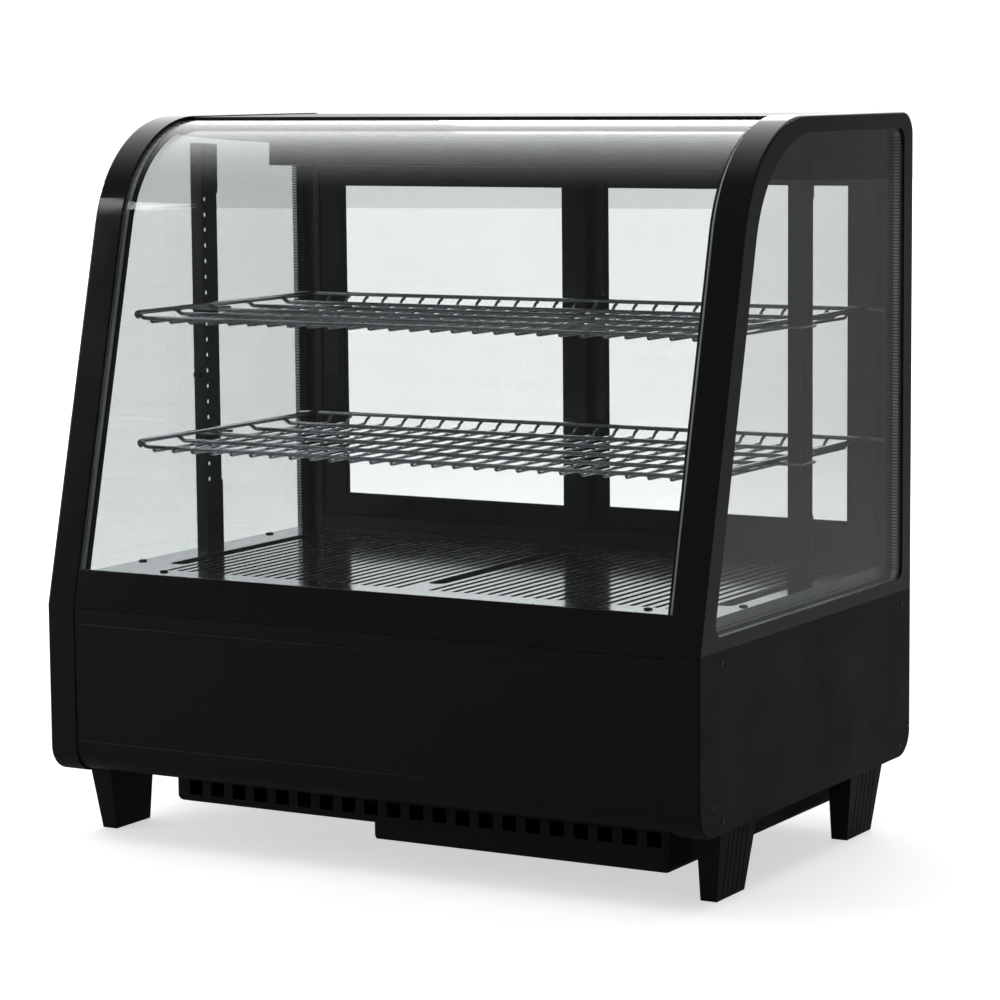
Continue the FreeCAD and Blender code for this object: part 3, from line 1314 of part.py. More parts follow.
def make_pipes():
    # Copper runs: discharge to the condenser, liquid line through the drier, and suction.
    side = heat_fan_place + pipe_side
    dry_x = side + drier_side
    low = pan_floor + liquid_lift
    start = stub_reach + pot_radius - pot_front
    turn = start + pipe_run
    discharge = [(pot_place, start, outlet_height), (pot_place, turn, outlet_height)]
    discharge += [(side, turn, outlet_height), (side, condenser_front, outlet_height)]
    drier_rear = condenser_front - drier_gap
    drier_front = drier_rear - drier_length
    liquid = [(dry_x, drier_front, low), (dry_x, -pot_front, low), (dry_x, -pot_front, foam_under)]
    radius = pipe_radius.value
    bend = pipe_bend.value
    stub_top = (pot_place, -pot_front, pot_top + stub_rise)
    coil_end = (dry_x, condenser_front, low)
    pipes = [
        shaped("discharge_pipe", bent_wire(discharge, radius, bend)),
        shaped("liquid_pipe", bent_wire(liquid, radius, bend)),
        shaped("coil_pipe", straight_wire((dry_x, drier_rear, low), coil_end, radius)),
        shaped("suction_pipe", straight_wire(stub_top, (pot_place, -pot_front, foam_under), radius)),
    ]
    group("refrigerant_pipes", pipes)
    drier = new_body("filter_drier")
    cylinder(drier, "Y", (dry_x, drier_front, low), drier_radius, drier_length)
    finish("filter_drier", drier)


make_base_pan()
make_compressor()
make_condenser()
make_heat_fan()
make_pipes()


# ---------------------------------------------------------------- rear grille and controls

control_face = rear_panel_back + control_stand
control_back = control_face - control_deep
control_low = belt_height - control_drop
control_high = control_low + control_tall
control_right = control_left + control_width
inlet_height = foot_height + inlet_lift
row_height = control_low + control_tall / 2
key_pitch = key_size + key_gap
key_stand = key_proud + key_travel
key_back = control_face_wall + key_fit + key_flange_wall
display_left = control_left + display_start
display_right = display_left + display_width
display_low = row_height - display_tall / 2
display_high = row_height + display_tall / 2
rocker_middle = control_right - rocker_end
rocker_axis = control_face - rocker_depth


def key_place(index):
    return control_left + key_start + key_pitch * index


def make_grille():
    body = new_body("rear_grille")
    low = (-panel_half, grille_front, pan_flange + pan_wall)
    box(body, low, (panel_half, rear_panel_back, foam_top - glass_fit))
    cut_front = grille_front - 1
    cut_rear = rear_panel_back + 1
    louvre_low = foot_height + louvre_lift
    for left in (-louvre_left, louvre_right):
        corner = (left, cut_front, louvre_low)
        high = (left + louvre_width, cut_rear, louvre_low + louvre_size)
        slot = box(body, corner, high, cut=True)
        repeat(body, slot, "Z", louvre_pitch, louvre_count)
    low = (control_left - key_fit, cut_front, control_low - key_fit)
    box(body, low, (control_right + key_fit, cut_rear, control_high + key_fit), cut=True)
    half_x = inlet_width / 2 + key_fit
    half_z = inlet_tall / 2 + key_fit
    low = (inlet_place - half_x, cut_front, inlet_height - half_z)
    box(body, low, (inlet_place + half_x, cut_rear, inlet_height + half_z), cut=True)
    finish("rear_grille", body)


def make_control_panel():
    body = new_body("control_panel")
    box(body, (control_left, control_back, control_low), (control_right, control_face, control_high))
    low = (control_left - control_lip, rear_panel_back, control_low - control_lip)
    box(body, low, (control_right + control_lip, control_face, control_high + control_lip))
    inside = control_back + control_back_wall
    wall = control_side_wall
    low = (control_left + wall, inside, control_low + wall)
    high = (rocker_middle - rocker_room, control_face - control_face_wall, control_high - wall)
    box(body, low, high, cut=True)
    half = key_size / 2 + key_fit
    for index in range(3):
        middle = key_place(index)
        low = (middle - half, control_face - control_face_wall - 1, row_height - half)
        box(body, low, (middle + half, control_face + 1, row_height + half), cut=True)
    low = (display_left, control_face - display_sheet, display_low)
    box(body, low, (display_right, control_face + 1, display_high), cut=True)
    half = rocker_width / 2 + rocker_fit
    tall = rocker_tall / 2 + rocker_swing_fit
    low = (rocker_middle - half, inside, row_height - tall)
    box(body, low, (rocker_middle + half, control_face + 1, row_height + tall), cut=True)
    pin_half = half + rocker_pin_bite + pin_end_gap
    place = (rocker_middle - pin_half, rocker_axis, row_height)
    cylinder(body, "X", place, rocker_pin + pin_fit, pin_half * 2, cut=True)
    finish("control_panel", body)
    window = new_body("display_window")
    low = (display_left, control_face - display_sheet, display_low)
    box(window, low, (display_right, control_face, display_high))
    finish("display_window", window)


def make_keys():
    half = key_size / 2
    flange = half + key_flange
    for index, name in enumerate(("key_set", "key_up", "key_down")):
        middle = key_place(index)
        body = new_body(name)
        low = (middle - half, control_face - key_back, row_height - half)
        box(body, low, (middle + half, control_face + key_stand, row_height + half))
        low = (middle - flange, control_face - key_back, row_height - flange)
        high = (middle + flange, control_face - key_back + key_flange_wall, row_height + flange)
        box(body, low, high)
        finish(name, body)


def make_rocker():
    # Built about its pin, tilted to its resting side, then put in place.
    body = new_body("light_switch")
    half = rocker_width / 2
    tall = rocker_tall / 2
    box(body, (-half, -rocker_back, -tall), (half, rocker_depth + rocker_proud, tall))
    pin_half = half + rocker_fit + rocker_pin_bite
    cylinder(body, "X", (-pin_half, as_size(0), as_size(0)), rocker_pin, pin_half * 2)
    tilt = FreeCAD.Rotation(FreeCAD.Vector(1, 0, 0), -rocker_tilt.value)
    body.Placement = FreeCAD.Placement(FreeCAD.Vector(), tilt)
    move_to(body, rocker_middle, rocker_axis, row_height)
    finish("light_switch", body)


def make_inlet():
    body = new_body("power_inlet")
    half_x = inlet_width / 2
    half_z = inlet_tall / 2
    back = rear_panel_back - inlet_deep
    low = (inlet_place - half_x, back, inlet_height - half_z)
    box(body, low, (inlet_place + half_x, rear_panel_back, inlet_height + half_z))
    low = (inlet_place - half_x - inlet_ear, rear_panel_back, inlet_height - half_z - inlet_rim)
    high = (inlet_place + half_x + inlet_ear, control_face, inlet_height + half_z + inlet_rim)
    box(body, low, high)
    wall = inlet_wall
    low = (inlet_place - half_x + wall, back + wall, inlet_height - half_z + wall)
    high = (inlet_place + half_x - wall, control_face + 1, inlet_height + half_z - wall)
    box(body, low, high, cut=True)
    wide = inlet_pin_width / 2
    tall = inlet_pin_tall / 2
    for index in (-1, 0, 1):
        x = inlet_place + inlet_pin_pitch * index
        z = inlet_height + (inlet_pin_step if index == 0 else -inlet_pin_step)
        low = (x - wide, back, z - tall)
        box(body, low, (x + wide, control_face - inlet_pin_gap, z + tall))
    finish("power_inlet", body)


make_grille()
make_control_panel()
make_keys()
make_rocker()
make_inlet()


# ---------------------------------------------------------------- feet and screws

foot_inner = half_width - foot_side_inset


def foot_outline(sign_x, middle, wide, length):
    low, high = on_side(sign_x, foot_inner, foot_inner + wide)
    return rectangle(low, high, middle - length / 2, middle + length / 2)


def make_foot(name, sign_x, sign_y):
    # A tapered foot with its inner face upright and flutes down its outer face.
    body = new_body(name)
    middle = (half_depth - foot_inset) * sign_y
    sole = new_sketch(body, "XY_Plane", 0)
    add_outline(sole, foot_outline(sign_x, middle, foot_sole, foot_length))
    head = new_sketch(body, "XY_Plane", foot_height)
    add_outline(head, foot_outline(sign_x, middle, foot_head, foot_length + foot_flare * 2))
    loft = body.newObject("PartDesign::AdditiveLoft", name + "_loft")
    loft.Profile = sole
    loft.Sections = [head]
    document.recompute()
    spread = foot_head - foot_sole
    lean_out = math.degrees(math.atan2(number_of(spread), foot_height.value))
    turn = FreeCAD.Rotation(FreeCAD.Vector(0, 1, 0), lean_out * sign_x)
    face = foot_inner + foot_sole
    start = on_side(sign_x, face - flute_depth, face + flute_depth)[0]
    flute = body.newObject("PartDesign::SubtractiveBox", name + "_flute")
    bind(flute, "Length", flute_depth * 2)
    bind(flute, "Width", flute_width)
    bind(flute, "Height", foot_height - flute_start - flute_end)
    flute.Placement = FreeCAD.Placement(FreeCAD.Vector(), turn)
    bind(flute, "Placement.Base.x", start + spread * sign_x * flute_start / foot_height)
    bind(flute, "Placement.Base.y", middle - flute_pitch * (flute_count - 1) / 2)
    bind(flute, "Placement.Base.z", flute_start)
    repeat(body, flute, "Y", flute_pitch, flute_count)
    finish(name, body)


def make_screws():
    screws = []

    def add_screw(axis, place):
        body = new_body("screw")
        cylinder(body, axis, place, screw_radius, screw_head)
        screws.append(body)

    for sign in SIDES.values():
        for depth in (-deck_screw_front, deck_screw_rear):
            add_screw("Z", ((deck_half - screw_edge) * sign, depth, deck_top))
        add_screw("Z", ((tub_half - slot_screw_end) * sign, slot_front - slot_screw_gap, deck_top))
        for height in (pan_flange + grille_screw_inset, foam_top - grille_screw_inset):
            add_screw("Y", ((panel_half - grille_screw_edge) * sign, rear_panel_back, height))
    group("case_screws", screws)


for end_name, end_sign in (("front", -1), ("rear", 1)):
    for side_name, side_sign in SIDES.items():
        make_foot(f"foot_{end_name}_{side_name}", side_sign, end_sign)
make_screws()


# ---------------------------------------------------------------- check and write

document.recompute()
for item in document.Objects:
    if {"Invalid", "Error"} & set(item.State):
        raise RuntimeError(f"{item.Name} failed: {item.State}")
for item in parts:
    if item.Shape.isNull() or not item.Shape.isValid():
        raise RuntimeError(f"{item.Label} has no valid shape")

os.makedirs("parts", exist_ok=True)
for item in parts:
    item.Shape.exportStep(f"parts/{item.Label}.step")
print(len(parts), "parts written")
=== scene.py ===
import json
import math

import bpy
from mathutils import Matrix, Vector


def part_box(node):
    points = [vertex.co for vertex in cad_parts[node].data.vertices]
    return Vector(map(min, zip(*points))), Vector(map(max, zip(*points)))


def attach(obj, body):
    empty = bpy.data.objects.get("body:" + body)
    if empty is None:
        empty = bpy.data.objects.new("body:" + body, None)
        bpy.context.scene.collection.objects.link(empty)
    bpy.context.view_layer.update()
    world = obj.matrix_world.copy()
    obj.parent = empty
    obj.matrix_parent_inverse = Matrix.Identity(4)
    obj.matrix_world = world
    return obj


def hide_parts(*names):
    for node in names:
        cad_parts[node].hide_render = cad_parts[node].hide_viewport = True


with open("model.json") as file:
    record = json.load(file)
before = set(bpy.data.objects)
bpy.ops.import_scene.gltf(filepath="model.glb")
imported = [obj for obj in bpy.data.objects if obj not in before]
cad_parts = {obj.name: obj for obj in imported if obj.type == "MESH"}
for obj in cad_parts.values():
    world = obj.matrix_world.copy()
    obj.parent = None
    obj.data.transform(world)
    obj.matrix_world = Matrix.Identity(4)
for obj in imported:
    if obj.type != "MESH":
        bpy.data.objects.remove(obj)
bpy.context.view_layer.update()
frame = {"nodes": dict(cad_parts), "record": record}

# Looks for a countertop refrigerated bakery display case. +X right, -Y curved front, +Z up.

mm = 0.001
nodes = frame["nodes"]
bodyOf = {node: body for body, group in frame["record"]["behaviour"]["bodies"].items() for node in group}
slotOf = {row["node"]: row["material_slot"] for row in frame["record"]["subparts"]}


# Camera, floor and light

studio = {
    "place": (1.6218, -2.7912, 0.7134),
    "azimuth": 29.85,
    "elevation": 7.04,
    "roll": -0.51,
    "lens": 124.4,
    "floorColour": "#f4f4f2",
    "floorRadius": 20,
    "roomWhite": 1.13,             # the lit backdrop, as seen past and through the case
    "roomGlow": 0.06,              # the dark side of the tent, as seen in gloss
    "farWall": 1.5,                # its lit far side, as seen in gloss
    "farHeading": (-0.5, 0.7, 0.5),
    # the floor's painted glow and shade: floorGloss is the share of its colour left in reflections,
    # floorFade the metres over which its glow rises into the backdrop, floorShade the glow nearest the case
    "floorGloss": 0.2,             # share of the floor's paleness left in a reflection
    "floorFade": (0.3, 2.2),       # metres over which the floor fades into the backdrop
    "floorShade": 0.62,
    "bounces": 24,                 # enough for five panes and the shelves behind them
}
lamps = {
    # name: place, aim, size in metres, watts
    "topBox": ((0.0, -0.55, 2.1), (0, -0.1, 0.5), (2.2, 1.3), 14),
    "leftBox": ((-2.1, -1.7, 1.2), (0, 0, 0.35), (0.5, 1.8), 9),
    "rightBox": ((2.4, 0.9, 1.3), (0.2, 0, 0.4), (0.4, 1.6), 0.4),
    "backBox": ((-0.4, 2.6, 1.6), (0, 0, 0.4), (2.4, 1.2), 14),
}


def hexToLinear(code):
    channels = [int(code[start:start + 2], 16) / 255 for start in (1, 3, 5)]
    linear = [c / 12.92 if c <= 0.04045 else ((c + 0.055) / 1.055) ** 2.4 for c in channels]
    return (*linear, 1.0)


def addNode(tree, kind, values=None, links=None, **settings):
    # adds one node with its settings, fixed values and incoming links
    node = tree.nodes.new(kind)
    for name, value in settings.items():
        setattr(node, name, value)
    for name, value in (values or {}).items():
        node.inputs[name].default_value = value
    for name, socket in (links or {}).items():
        tree.links.new(socket, node.inputs[name])
    return node


def startMaterial(name):
    material = bpy.data.materials.new(name)
    material.use_nodes = True
    tree = material.node_tree
    tree.nodes.clear()
    output = addNode(tree, "ShaderNodeOutputMaterial")
    place = addNode(tree, "ShaderNodeTexCoord").outputs["Object"]
    return material, tree, output, place


def deselectAll():
    bpy.ops.object.select_all(action="DESELECT")


def aimCamera():
    camera = bpy.data.objects.new("camera", bpy.data.cameras.new("camera"))
    bpy.context.scene.collection.objects.link(camera)
    azimuth = math.radians(studio["azimuth"])
    elevation = math.radians(studio["elevation"])
    roll = math.radians(studio["roll"])
    back = Vector((math.sin(azimuth) * math.cos(elevation), -math.cos(azimuth) * math.cos(elevation),
                   math.sin(elevation)))
    right = Vector((math.cos(azimuth), math.sin(azimuth), 0))
    up = back.cross(right)
    rolledRight = right * math.cos(roll) + up * math.sin(roll)
    rolledUp = up * math.cos(roll) - right * math.sin(roll)
    turn = Matrix((rolledRight, rolledUp, back)).transposed().to_4x4()
    camera.matrix_world = Matrix.Translation(studio["place"]) @ turn
    camera.data.lens = studio["lens"]
    camera.data.clip_end = 60
    bpy.context.scene.camera = camera


def lightPanel(name):
    place, aim, size, power = lamps[name]
    light = bpy.data.lights.new(name, "AREA")
    light.shape = "RECTANGLE"
    light.size, light.size_y = size
    light.energy = power
    lamp = bpy.data.objects.new(name, light)
    bpy.context.scene.collection.objects.link(lamp)
    lamp.location = place
    lamp.rotation_euler = (Vector(aim) - Vector(place)).to_track_quat("-Z", "Y").to_euler()
    return lamp


def seenStraight(tree):
    # 1 on a ray that has met nothing but clear glass, 0 once it has been reflected
    path = addNode(tree, "ShaderNodeLightPath")
    turns = addNode(tree, "ShaderNodeMath", links={0: path.outputs["Glossy Depth"],
                    1: path.outputs["Diffuse Depth"]}, operation="ADD")
    return addNode(tree, "ShaderNodeMath", {1: 0.5}, {0: turns.outputs[0]}, operation="LESS_THAN").outputs[0]


def makeRoom():
    # the backdrop shows white straight on and through glass; gloss sees a dark tent that
    # grows brighter towards the far wall and the ceiling over it
    world = bpy.data.worlds.new("studioRoom")
    bpy.context.scene.world = world
    world.use_nodes = True
    tree = world.node_tree
    tree.nodes.clear()
    heading = addNode(tree, "ShaderNodeTexCoord").outputs["Generated"]
    facing = addNode(tree, "ShaderNodeVectorMath", {1: studio["farHeading"]}, {0: heading},
                     operation="DOT_PRODUCT")
    rise = addNode(tree, "ShaderNodeMapRange", {"From Min": 0.3, "From Max": 1.0},
                   {"Value": facing.outputs["Value"]})
    bend = addNode(tree, "ShaderNodeMath", {1: 2.0}, {0: rise.outputs[0]}, operation="POWER")
    wall = addNode(tree, "ShaderNodeMapRange", {"To Min": studio["roomGlow"], "To Max": studio["farWall"]},
                   {"Value": bend.outputs[0]})
    strength = addNode(tree, "ShaderNodeMix", {3: studio["roomWhite"]},
                       {0: seenStraight(tree), 2: wall.outputs[0]}, data_type="FLOAT")
    glow = addNode(tree, "ShaderNodeBackground", {"Color": (1, 1, 1, 1)}, {"Strength": strength.outputs[0]})
    addNode(tree, "ShaderNodeOutputWorld", links={"Surface": glow.outputs[0]})


def paleGlowingFloor():
    # matt pale floor lit by a painted glow: its emission is weakest in the middle, where the lamps and their
    # shadow show, and rises outward into the white backdrop; reflections see it dimmed, a painted shade
    material, tree, output, place = startMaterial("pale painted floor")
    speckle = addNode(tree, "ShaderNodeTexNoise", {"Scale": 3.0, "Detail": 4.0}, {"Vector": place})
    tint = addNode(tree, "ShaderNodeMix", {6: hexToLinear("#ffffff"), 7: hexToLinear(studio["floorColour"])},
                   {0: speckle.outputs[0]}, data_type="RGBA")
    near, far = studio["floorFade"]
    away = addNode(tree, "ShaderNodeVectorMath", links={0: place}, operation="LENGTH")
    # painted glow: emission rising from floorShade near the case to roomWhite far out
    fade = addNode(tree, "ShaderNodeMapRange", {"From Min": near, "From Max": far,
                   "To Min": studio["floorShade"], "To Max": studio["roomWhite"]},
                   {"Value": away.outputs["Value"]}, interpolation_type="SMOOTHSTEP")
    seen = seenStraight(tree)
    # emission strength of the painted glow: the ramp straight on, the room's dim glow in reflections
    lift = addNode(tree, "ShaderNodeMix", {2: studio["roomGlow"]}, {0: seen, 3: fade.outputs[0]},
                   data_type="FLOAT")
    # painted shade: in reflections the floor's colour drops to floorGloss of itself
    share = addNode(tree, "ShaderNodeMapRange", {"To Min": studio["floorGloss"]}, {"Value": seen})
    pale = addNode(tree, "ShaderNodeVectorMath", links={0: tint.outputs[2], "Scale": share.outputs[0]},
                   operation="SCALE")
    # the base colour carries the painted shade seen in reflections, the emission the painted glow
    paint = addNode(tree, "ShaderNodeBsdfPrincipled", {"Roughness": 0.8, "Specular IOR Level": 0.1},
                    {"Base Color": pale.outputs[0], "Emission Color": tint.outputs[2],
                     "Emission Strength": lift.outputs[0]})
    tree.links.new(paint.outputs[0], output.inputs["Surface"])
    return material


def makeStudio():
    scene = bpy.context.scene
    scene.view_settings.view_transform = "Standard"
    scene.cycles.max_bounces = studio["bounces"]
    scene.cycles.transmission_bounces = studio["bounces"]
    scene.cycles.transparent_max_bounces = studio["bounces"]
    makeRoom()
    deselectAll()
    bpy.ops.mesh.primitive_circle_add(vertices=96, radius=studio["floorRadius"], fill_type="NGON",
                                      location=(0, 0, -0.3 * mm))
    floor = bpy.context.object
    floor.name = "floor"
    floor.data.materials.append(paleGlowingFloor())
    for name in lamps:
        lightPanel(name)
    # the top box only lights: the room's own ceiling is what gloss and glass show
    bpy.data.objects["topBox"].visible_glossy = False
    bpy.data.objects["topBox"].visible_transmission = False


aimCamera()
makeStudio()
print("studio ready")


# Materials. Each is named for what the real surface is made of.

def mouldedPlastic(name, look):
    # injection moulded plastic: fine etched grain, slow gloss drift and a faint handling haze
    material, tree, output, place = startMaterial(name)
    grain = addNode(tree, "ShaderNodeTexNoise", {"Scale": 1 / (look["grain"] * mm), "Detail": 3.0},
                    {"Vector": place})
    drift = addNode(tree, "ShaderNodeTexNoise", {"Scale": 14.0, "Detail": 5.0, "Roughness": 0.6},
                    {"Vector": place})
    gloss = addNode(tree, "ShaderNodeMapRange", {"From Min": 0.3, "From Max": 0.7,
                    "To Min": look["roughness"] * 0.85, "To Max": look["roughness"] * 1.2},
                    {"Value": drift.outputs[0]})
    colour = addNode(tree, "ShaderNodeMix", {6: hexToLinear(look["colour"]), 7: hexToLinear(look["haze"])},
                     {0: drift.outputs[0]}, data_type="RGBA")
    relief = addNode(tree, "ShaderNodeBump", {"Strength": look["relief"], "Distance": 0.05 * mm},
                     {"Height": grain.outputs[0]})
    shader = addNode(tree, "ShaderNodeBsdfPrincipled", {"IOR": 1.5, "Specular IOR Level": look["shine"],
                     "Coat Weight": look.get("coat", 0.0), "Coat Roughness": 0.04},
                     {"Base Color": colour.outputs[2], "Roughness": gloss.outputs[0],
                      "Normal": relief.outputs[0]})
    tree.links.new(shader.outputs[0], output.inputs["Surface"])
    return material


def powderCoat(name, look):
    # baked powder paint on sheet steel: a soft orange peel about 1.5 mm across
    material, tree, output, place = startMaterial(name)
    peel = addNode(tree, "ShaderNodeTexVoronoi", {"Scale": 1 / (look["peel"] * mm), "Smoothness": 1.0},
                   {"Vector": place}, feature="SMOOTH_F1")
    fleck = addNode(tree, "ShaderNodeTexNoise", {"Scale": 900.0, "Detail": 2.0}, {"Vector": place})
    colour = addNode(tree, "ShaderNodeMix", {6: hexToLinear(look["colour"]), 7: hexToLinear(look["fleck"])},
                     {0: fleck.outputs[0]}, data_type="RGBA")
    relief = addNode(tree, "ShaderNodeBump", {"Strength": 0.18, "Distance": 0.08 * mm},
                     {"Height": peel.outputs[0]})
    gloss = addNode(tree, "ShaderNodeMapRange", {"To Min": look["roughness"] * 0.9,
                    "To Max": look["roughness"] * 1.15}, {"Value": fleck.outputs[0]})
    shader = addNode(tree, "ShaderNodeBsdfPrincipled", {"Specular IOR Level": look["shine"]},
                     {"Base Color": colour.outputs[2], "Roughness": gloss.outputs[0],
                      "Normal": relief.outputs[0]})
    tree.links.new(shader.outputs[0], output.inputs["Surface"])
    return material


def rolledMetal(name, look):
    # bare sheet or drawn metal: long fine streaks along the rolling direction
    material, tree, output, place = startMaterial(name)
    stretch = addNode(tree, "ShaderNodeMapping", {"Scale": look["streak"]}, {"Vector": place})
    streaks = addNode(tree, "ShaderNodeTexNoise", {"Scale": 1.0, "Detail": 6.0, "Roughness": 0.65},
                      {"Vector": stretch.outputs[0]})
    cloud = addNode(tree, "ShaderNodeTexNoise", {"Scale": 9.0, "Detail": 3.0}, {"Vector": place})
    blend = addNode(tree, "ShaderNodeMix", {0: 0.35}, {2: streaks.outputs[0], 3: cloud.outputs[0]},
                    data_type="FLOAT")
    colour = addNode(tree, "ShaderNodeMix", {6: hexToLinear(look["colour"]), 7: hexToLinear(look["light"])},
                     {0: blend.outputs[0]}, data_type="RGBA")
    gloss = addNode(tree, "ShaderNodeMapRange", {"From Min": 0.3, "From Max": 0.7,
                    "To Min": look["roughness"] * 0.75, "To Max": look["roughness"] * 1.3},
                    {"Value": blend.outputs[0]})
    relief = addNode(tree, "ShaderNodeBump", {"Strength": look["relief"], "Distance": 0.02 * mm},
                     {"Height": streaks.outputs[0]})
    shader = addNode(tree, "ShaderNodeBsdfPrincipled", {"Metallic": 1.0},
                     {"Base Color": colour.outputs[2], "Roughness": gloss.outputs[0],
                      "Normal": relief.outputs[0]})
    tree.links.new(shader.outputs[0], output.inputs["Surface"])
    return material


def toughenedGlass(name, look):
    # clear float glass; lamps shine through it, so its shadow is only a light tint
    material, tree, output, place = startMaterial(name)
    smear = addNode(tree, "ShaderNodeTexNoise", {"Scale": 6.0, "Detail": 4.0}, {"Vector": place})
    gloss = addNode(tree, "ShaderNodeMapRange", {"From Min": 0.45, "From Max": 0.8, "To Min": 0.0,
                    "To Max": look["smear"]}, {"Value": smear.outputs[0]})
    tint = addNode(tree, "ShaderNodeMix", {6: hexToLinear(look["colour"]), 7: hexToLinear(look["clear"])},
                   {0: smear.outputs[0]}, data_type="RGBA")
    glass = addNode(tree, "ShaderNodeBsdfPrincipled", {"Transmission Weight": 1.0, "IOR": look["bend"]},
                    {"Base Color": tint.outputs[2], "Roughness": gloss.outputs[0]})
    shade = addNode(tree, "ShaderNodeBsdfTransparent", {"Color": hexToLinear(look["shadow"])})
    path = addNode(tree, "ShaderNodeLightPath")
    mix = addNode(tree, "ShaderNodeMixShader", links={0: path.outputs["Is Shadow Ray"],
                  1: glass.outputs[0], 2: shade.outputs[0]})
    tree.links.new(mix.outputs[0], output.inputs["Surface"])
    return material


def rigidFoam(name, look):
    # sprayed polyurethane: a skin of burst cells 2 to 4 mm across
    material, tree, output, place = startMaterial(name)
    cells = addNode(tree, "ShaderNodeTexVoronoi", {"Scale": 1 / (look["cell"] * mm)}, {"Vector": place})
    colour = addNode(tree, "ShaderNodeMix", {6: hexToLinear(look["colour"]), 7: hexToLinear(look["deep"])},
                     {0: cells.outputs[0]}, data_type="RGBA")
    relief = addNode(tree, "ShaderNodeBump", {"Strength": 0.6, "Distance": 0.6 * mm},
                     {"Height": cells.outputs[0]})
    shader = addNode(tree, "ShaderNodeBsdfPrincipled", {"Roughness": 0.9},
                     {"Base Color": colour.outputs[2], "Normal": relief.outputs[0]})
    tree.links.new(shader.outputs[0], output.inputs["Surface"])
    return material


def opalCover(name, look):
    # opal polycarbonate over the lamp, with fine extruded ribs along its length
    material, tree, output, place = startMaterial(name)
    ribs = addNode(tree, "ShaderNodeTexWave", {"Scale": 1 / (look["rib"] * mm) / 6.2832, "Distortion": 0.0},
                   {"Vector": place}, bands_direction="Y", wave_profile="SIN")
    relief = addNode(tree, "ShaderNodeBump", {"Strength": 0.4, "Distance": 0.3 * mm},
                     {"Height": ribs.outputs[0]})
    colour = addNode(tree, "ShaderNodeMix", {6: hexToLinear(look["colour"]), 7: hexToLinear(look["edge"])},
                     {0: ribs.outputs[0]}, data_type="RGBA")
    shader = addNode(tree, "ShaderNodeBsdfPrincipled", {"Roughness": 0.35, "Subsurface Weight": 0.2},
                     {"Base Color": colour.outputs[2], "Normal": relief.outputs[0]})
    tree.links.new(shader.outputs[0], output.inputs["Surface"])
    return material


def perforatedBar(name, look):
    # spacer bar between panes: bare aluminium with two rows of pin holes 3 mm apart
    material, tree, output, place = startMaterial(name)
    grid = addNode(tree, "ShaderNodeMapping", {"Scale": (0, 1 / look["pitch"] / mm, 1 / look["pitch"] / mm)},
                   {"Vector": place})
    dots = addNode(tree, "ShaderNodeTexVoronoi", {"Scale": 1.0, "Randomness": 0.0},
                   {"Vector": grid.outputs[0]})
    hole = addNode(tree, "ShaderNodeMapRange", {"From Min": 0.14, "From Max": 0.22},
                   {"Value": dots.outputs[0]})
    colour = addNode(tree, "ShaderNodeMix", {6: hexToLinear(look["hole"]), 7: hexToLinear(look["colour"])},
                     {0: hole.outputs[0]}, data_type="RGBA")
    relief = addNode(tree, "ShaderNodeBump", {"Strength": 0.7, "Distance": 0.4 * mm},
                     {"Height": hole.outputs[0]})
    shader = addNode(tree, "ShaderNodeBsdfPrincipled", {"Metallic": 0.85, "Roughness": 0.38},
                     {"Base Color": colour.outputs[2], "Normal": relief.outputs[0]})
    tree.links.new(shader.outputs[0], output.inputs["Surface"])
    return material


grainAcross = (12, 900, 900)       # streaks about 1 mm wide that run across the case
grainBack = (900, 14, 900)         # the same from front to back
grainLoose = (300, 300, 300)       # drawn or plated metal, about 3 mm clouds
finish = {}

# side frames and doors: polished mould, so almost black and mirror smooth with a trace of orange peel
finish["frame_gloss"] = mouldedPlastic("gloss black ABS", {
    "colour": "#08080a", "haze": "#0d0d0f", "grain": 6.0, "relief": 0.03, "roughness": 0.13,
    "shine": 0.5, "coat": 0.3})
# base shell: spark eroded mould, a 0.7 mm grain that spreads the light
finish["panel_matte"] = mouldedPlastic("satin black ABS", {
    "colour": "#0b0b0c", "haze": "#111112", "grain": 0.7, "relief": 0.25, "roughness": 0.42, "shine": 0.3})
# pan under the machine: waxy and dull
finish["pan_plastic"] = mouldedPlastic("matt black polypropylene", {
    "colour": "#0c0c0d", "haze": "#131314", "grain": 0.9, "relief": 0.3, "roughness": 0.5, "shine": 0.3})
# feet: tough and dull, a little smoother than the pan
finish["foot_plastic"] = mouldedPlastic("matt black nylon", {
    "colour": "#0b0b0c", "haze": "#121213", "grain": 0.8, "relief": 0.25, "roughness": 0.45, "shine": 0.3})
# control panel, inlet and finger cups: fine etched face
finish["control_plastic"] = mouldedPlastic("etched black ABS", {
    "colour": "#101011", "haze": "#171718", "grain": 0.6, "relief": 0.3, "roughness": 0.4, "shine": 0.4})
# fans: glass fibres leave the surface greyish
finish["fan_plastic"] = mouldedPlastic("glass filled black nylon", {
    "colour": "#151516", "haze": "#1f1f20", "grain": 0.8, "relief": 0.35, "roughness": 0.5, "shine": 0.4})
# keys: soft and velvety
finish["key_plastic"] = mouldedPlastic("grey silicone rubber", {
    "colour": "#8b8f92", "haze": "#a0a3a5", "grain": 0.5, "relief": 0.15, "roughness": 0.55, "shine": 0.35})
# lamp switch: glossy green, tinted through
finish["switch_plastic"] = mouldedPlastic("green rocker polycarbonate", {
    "colour": "#1d6a2c", "haze": "#2a7d39", "grain": 2.0, "relief": 0.05, "roughness": 0.2, "shine": 0.5})
# display lens: almost black with a red cast, polished
finish["display_lens"] = mouldedPlastic("smoked acrylic lens", {
    "colour": "#170405", "haze": "#1f0607", "grain": 4.0, "relief": 0.02, "roughness": 0.08, "shine": 0.5})
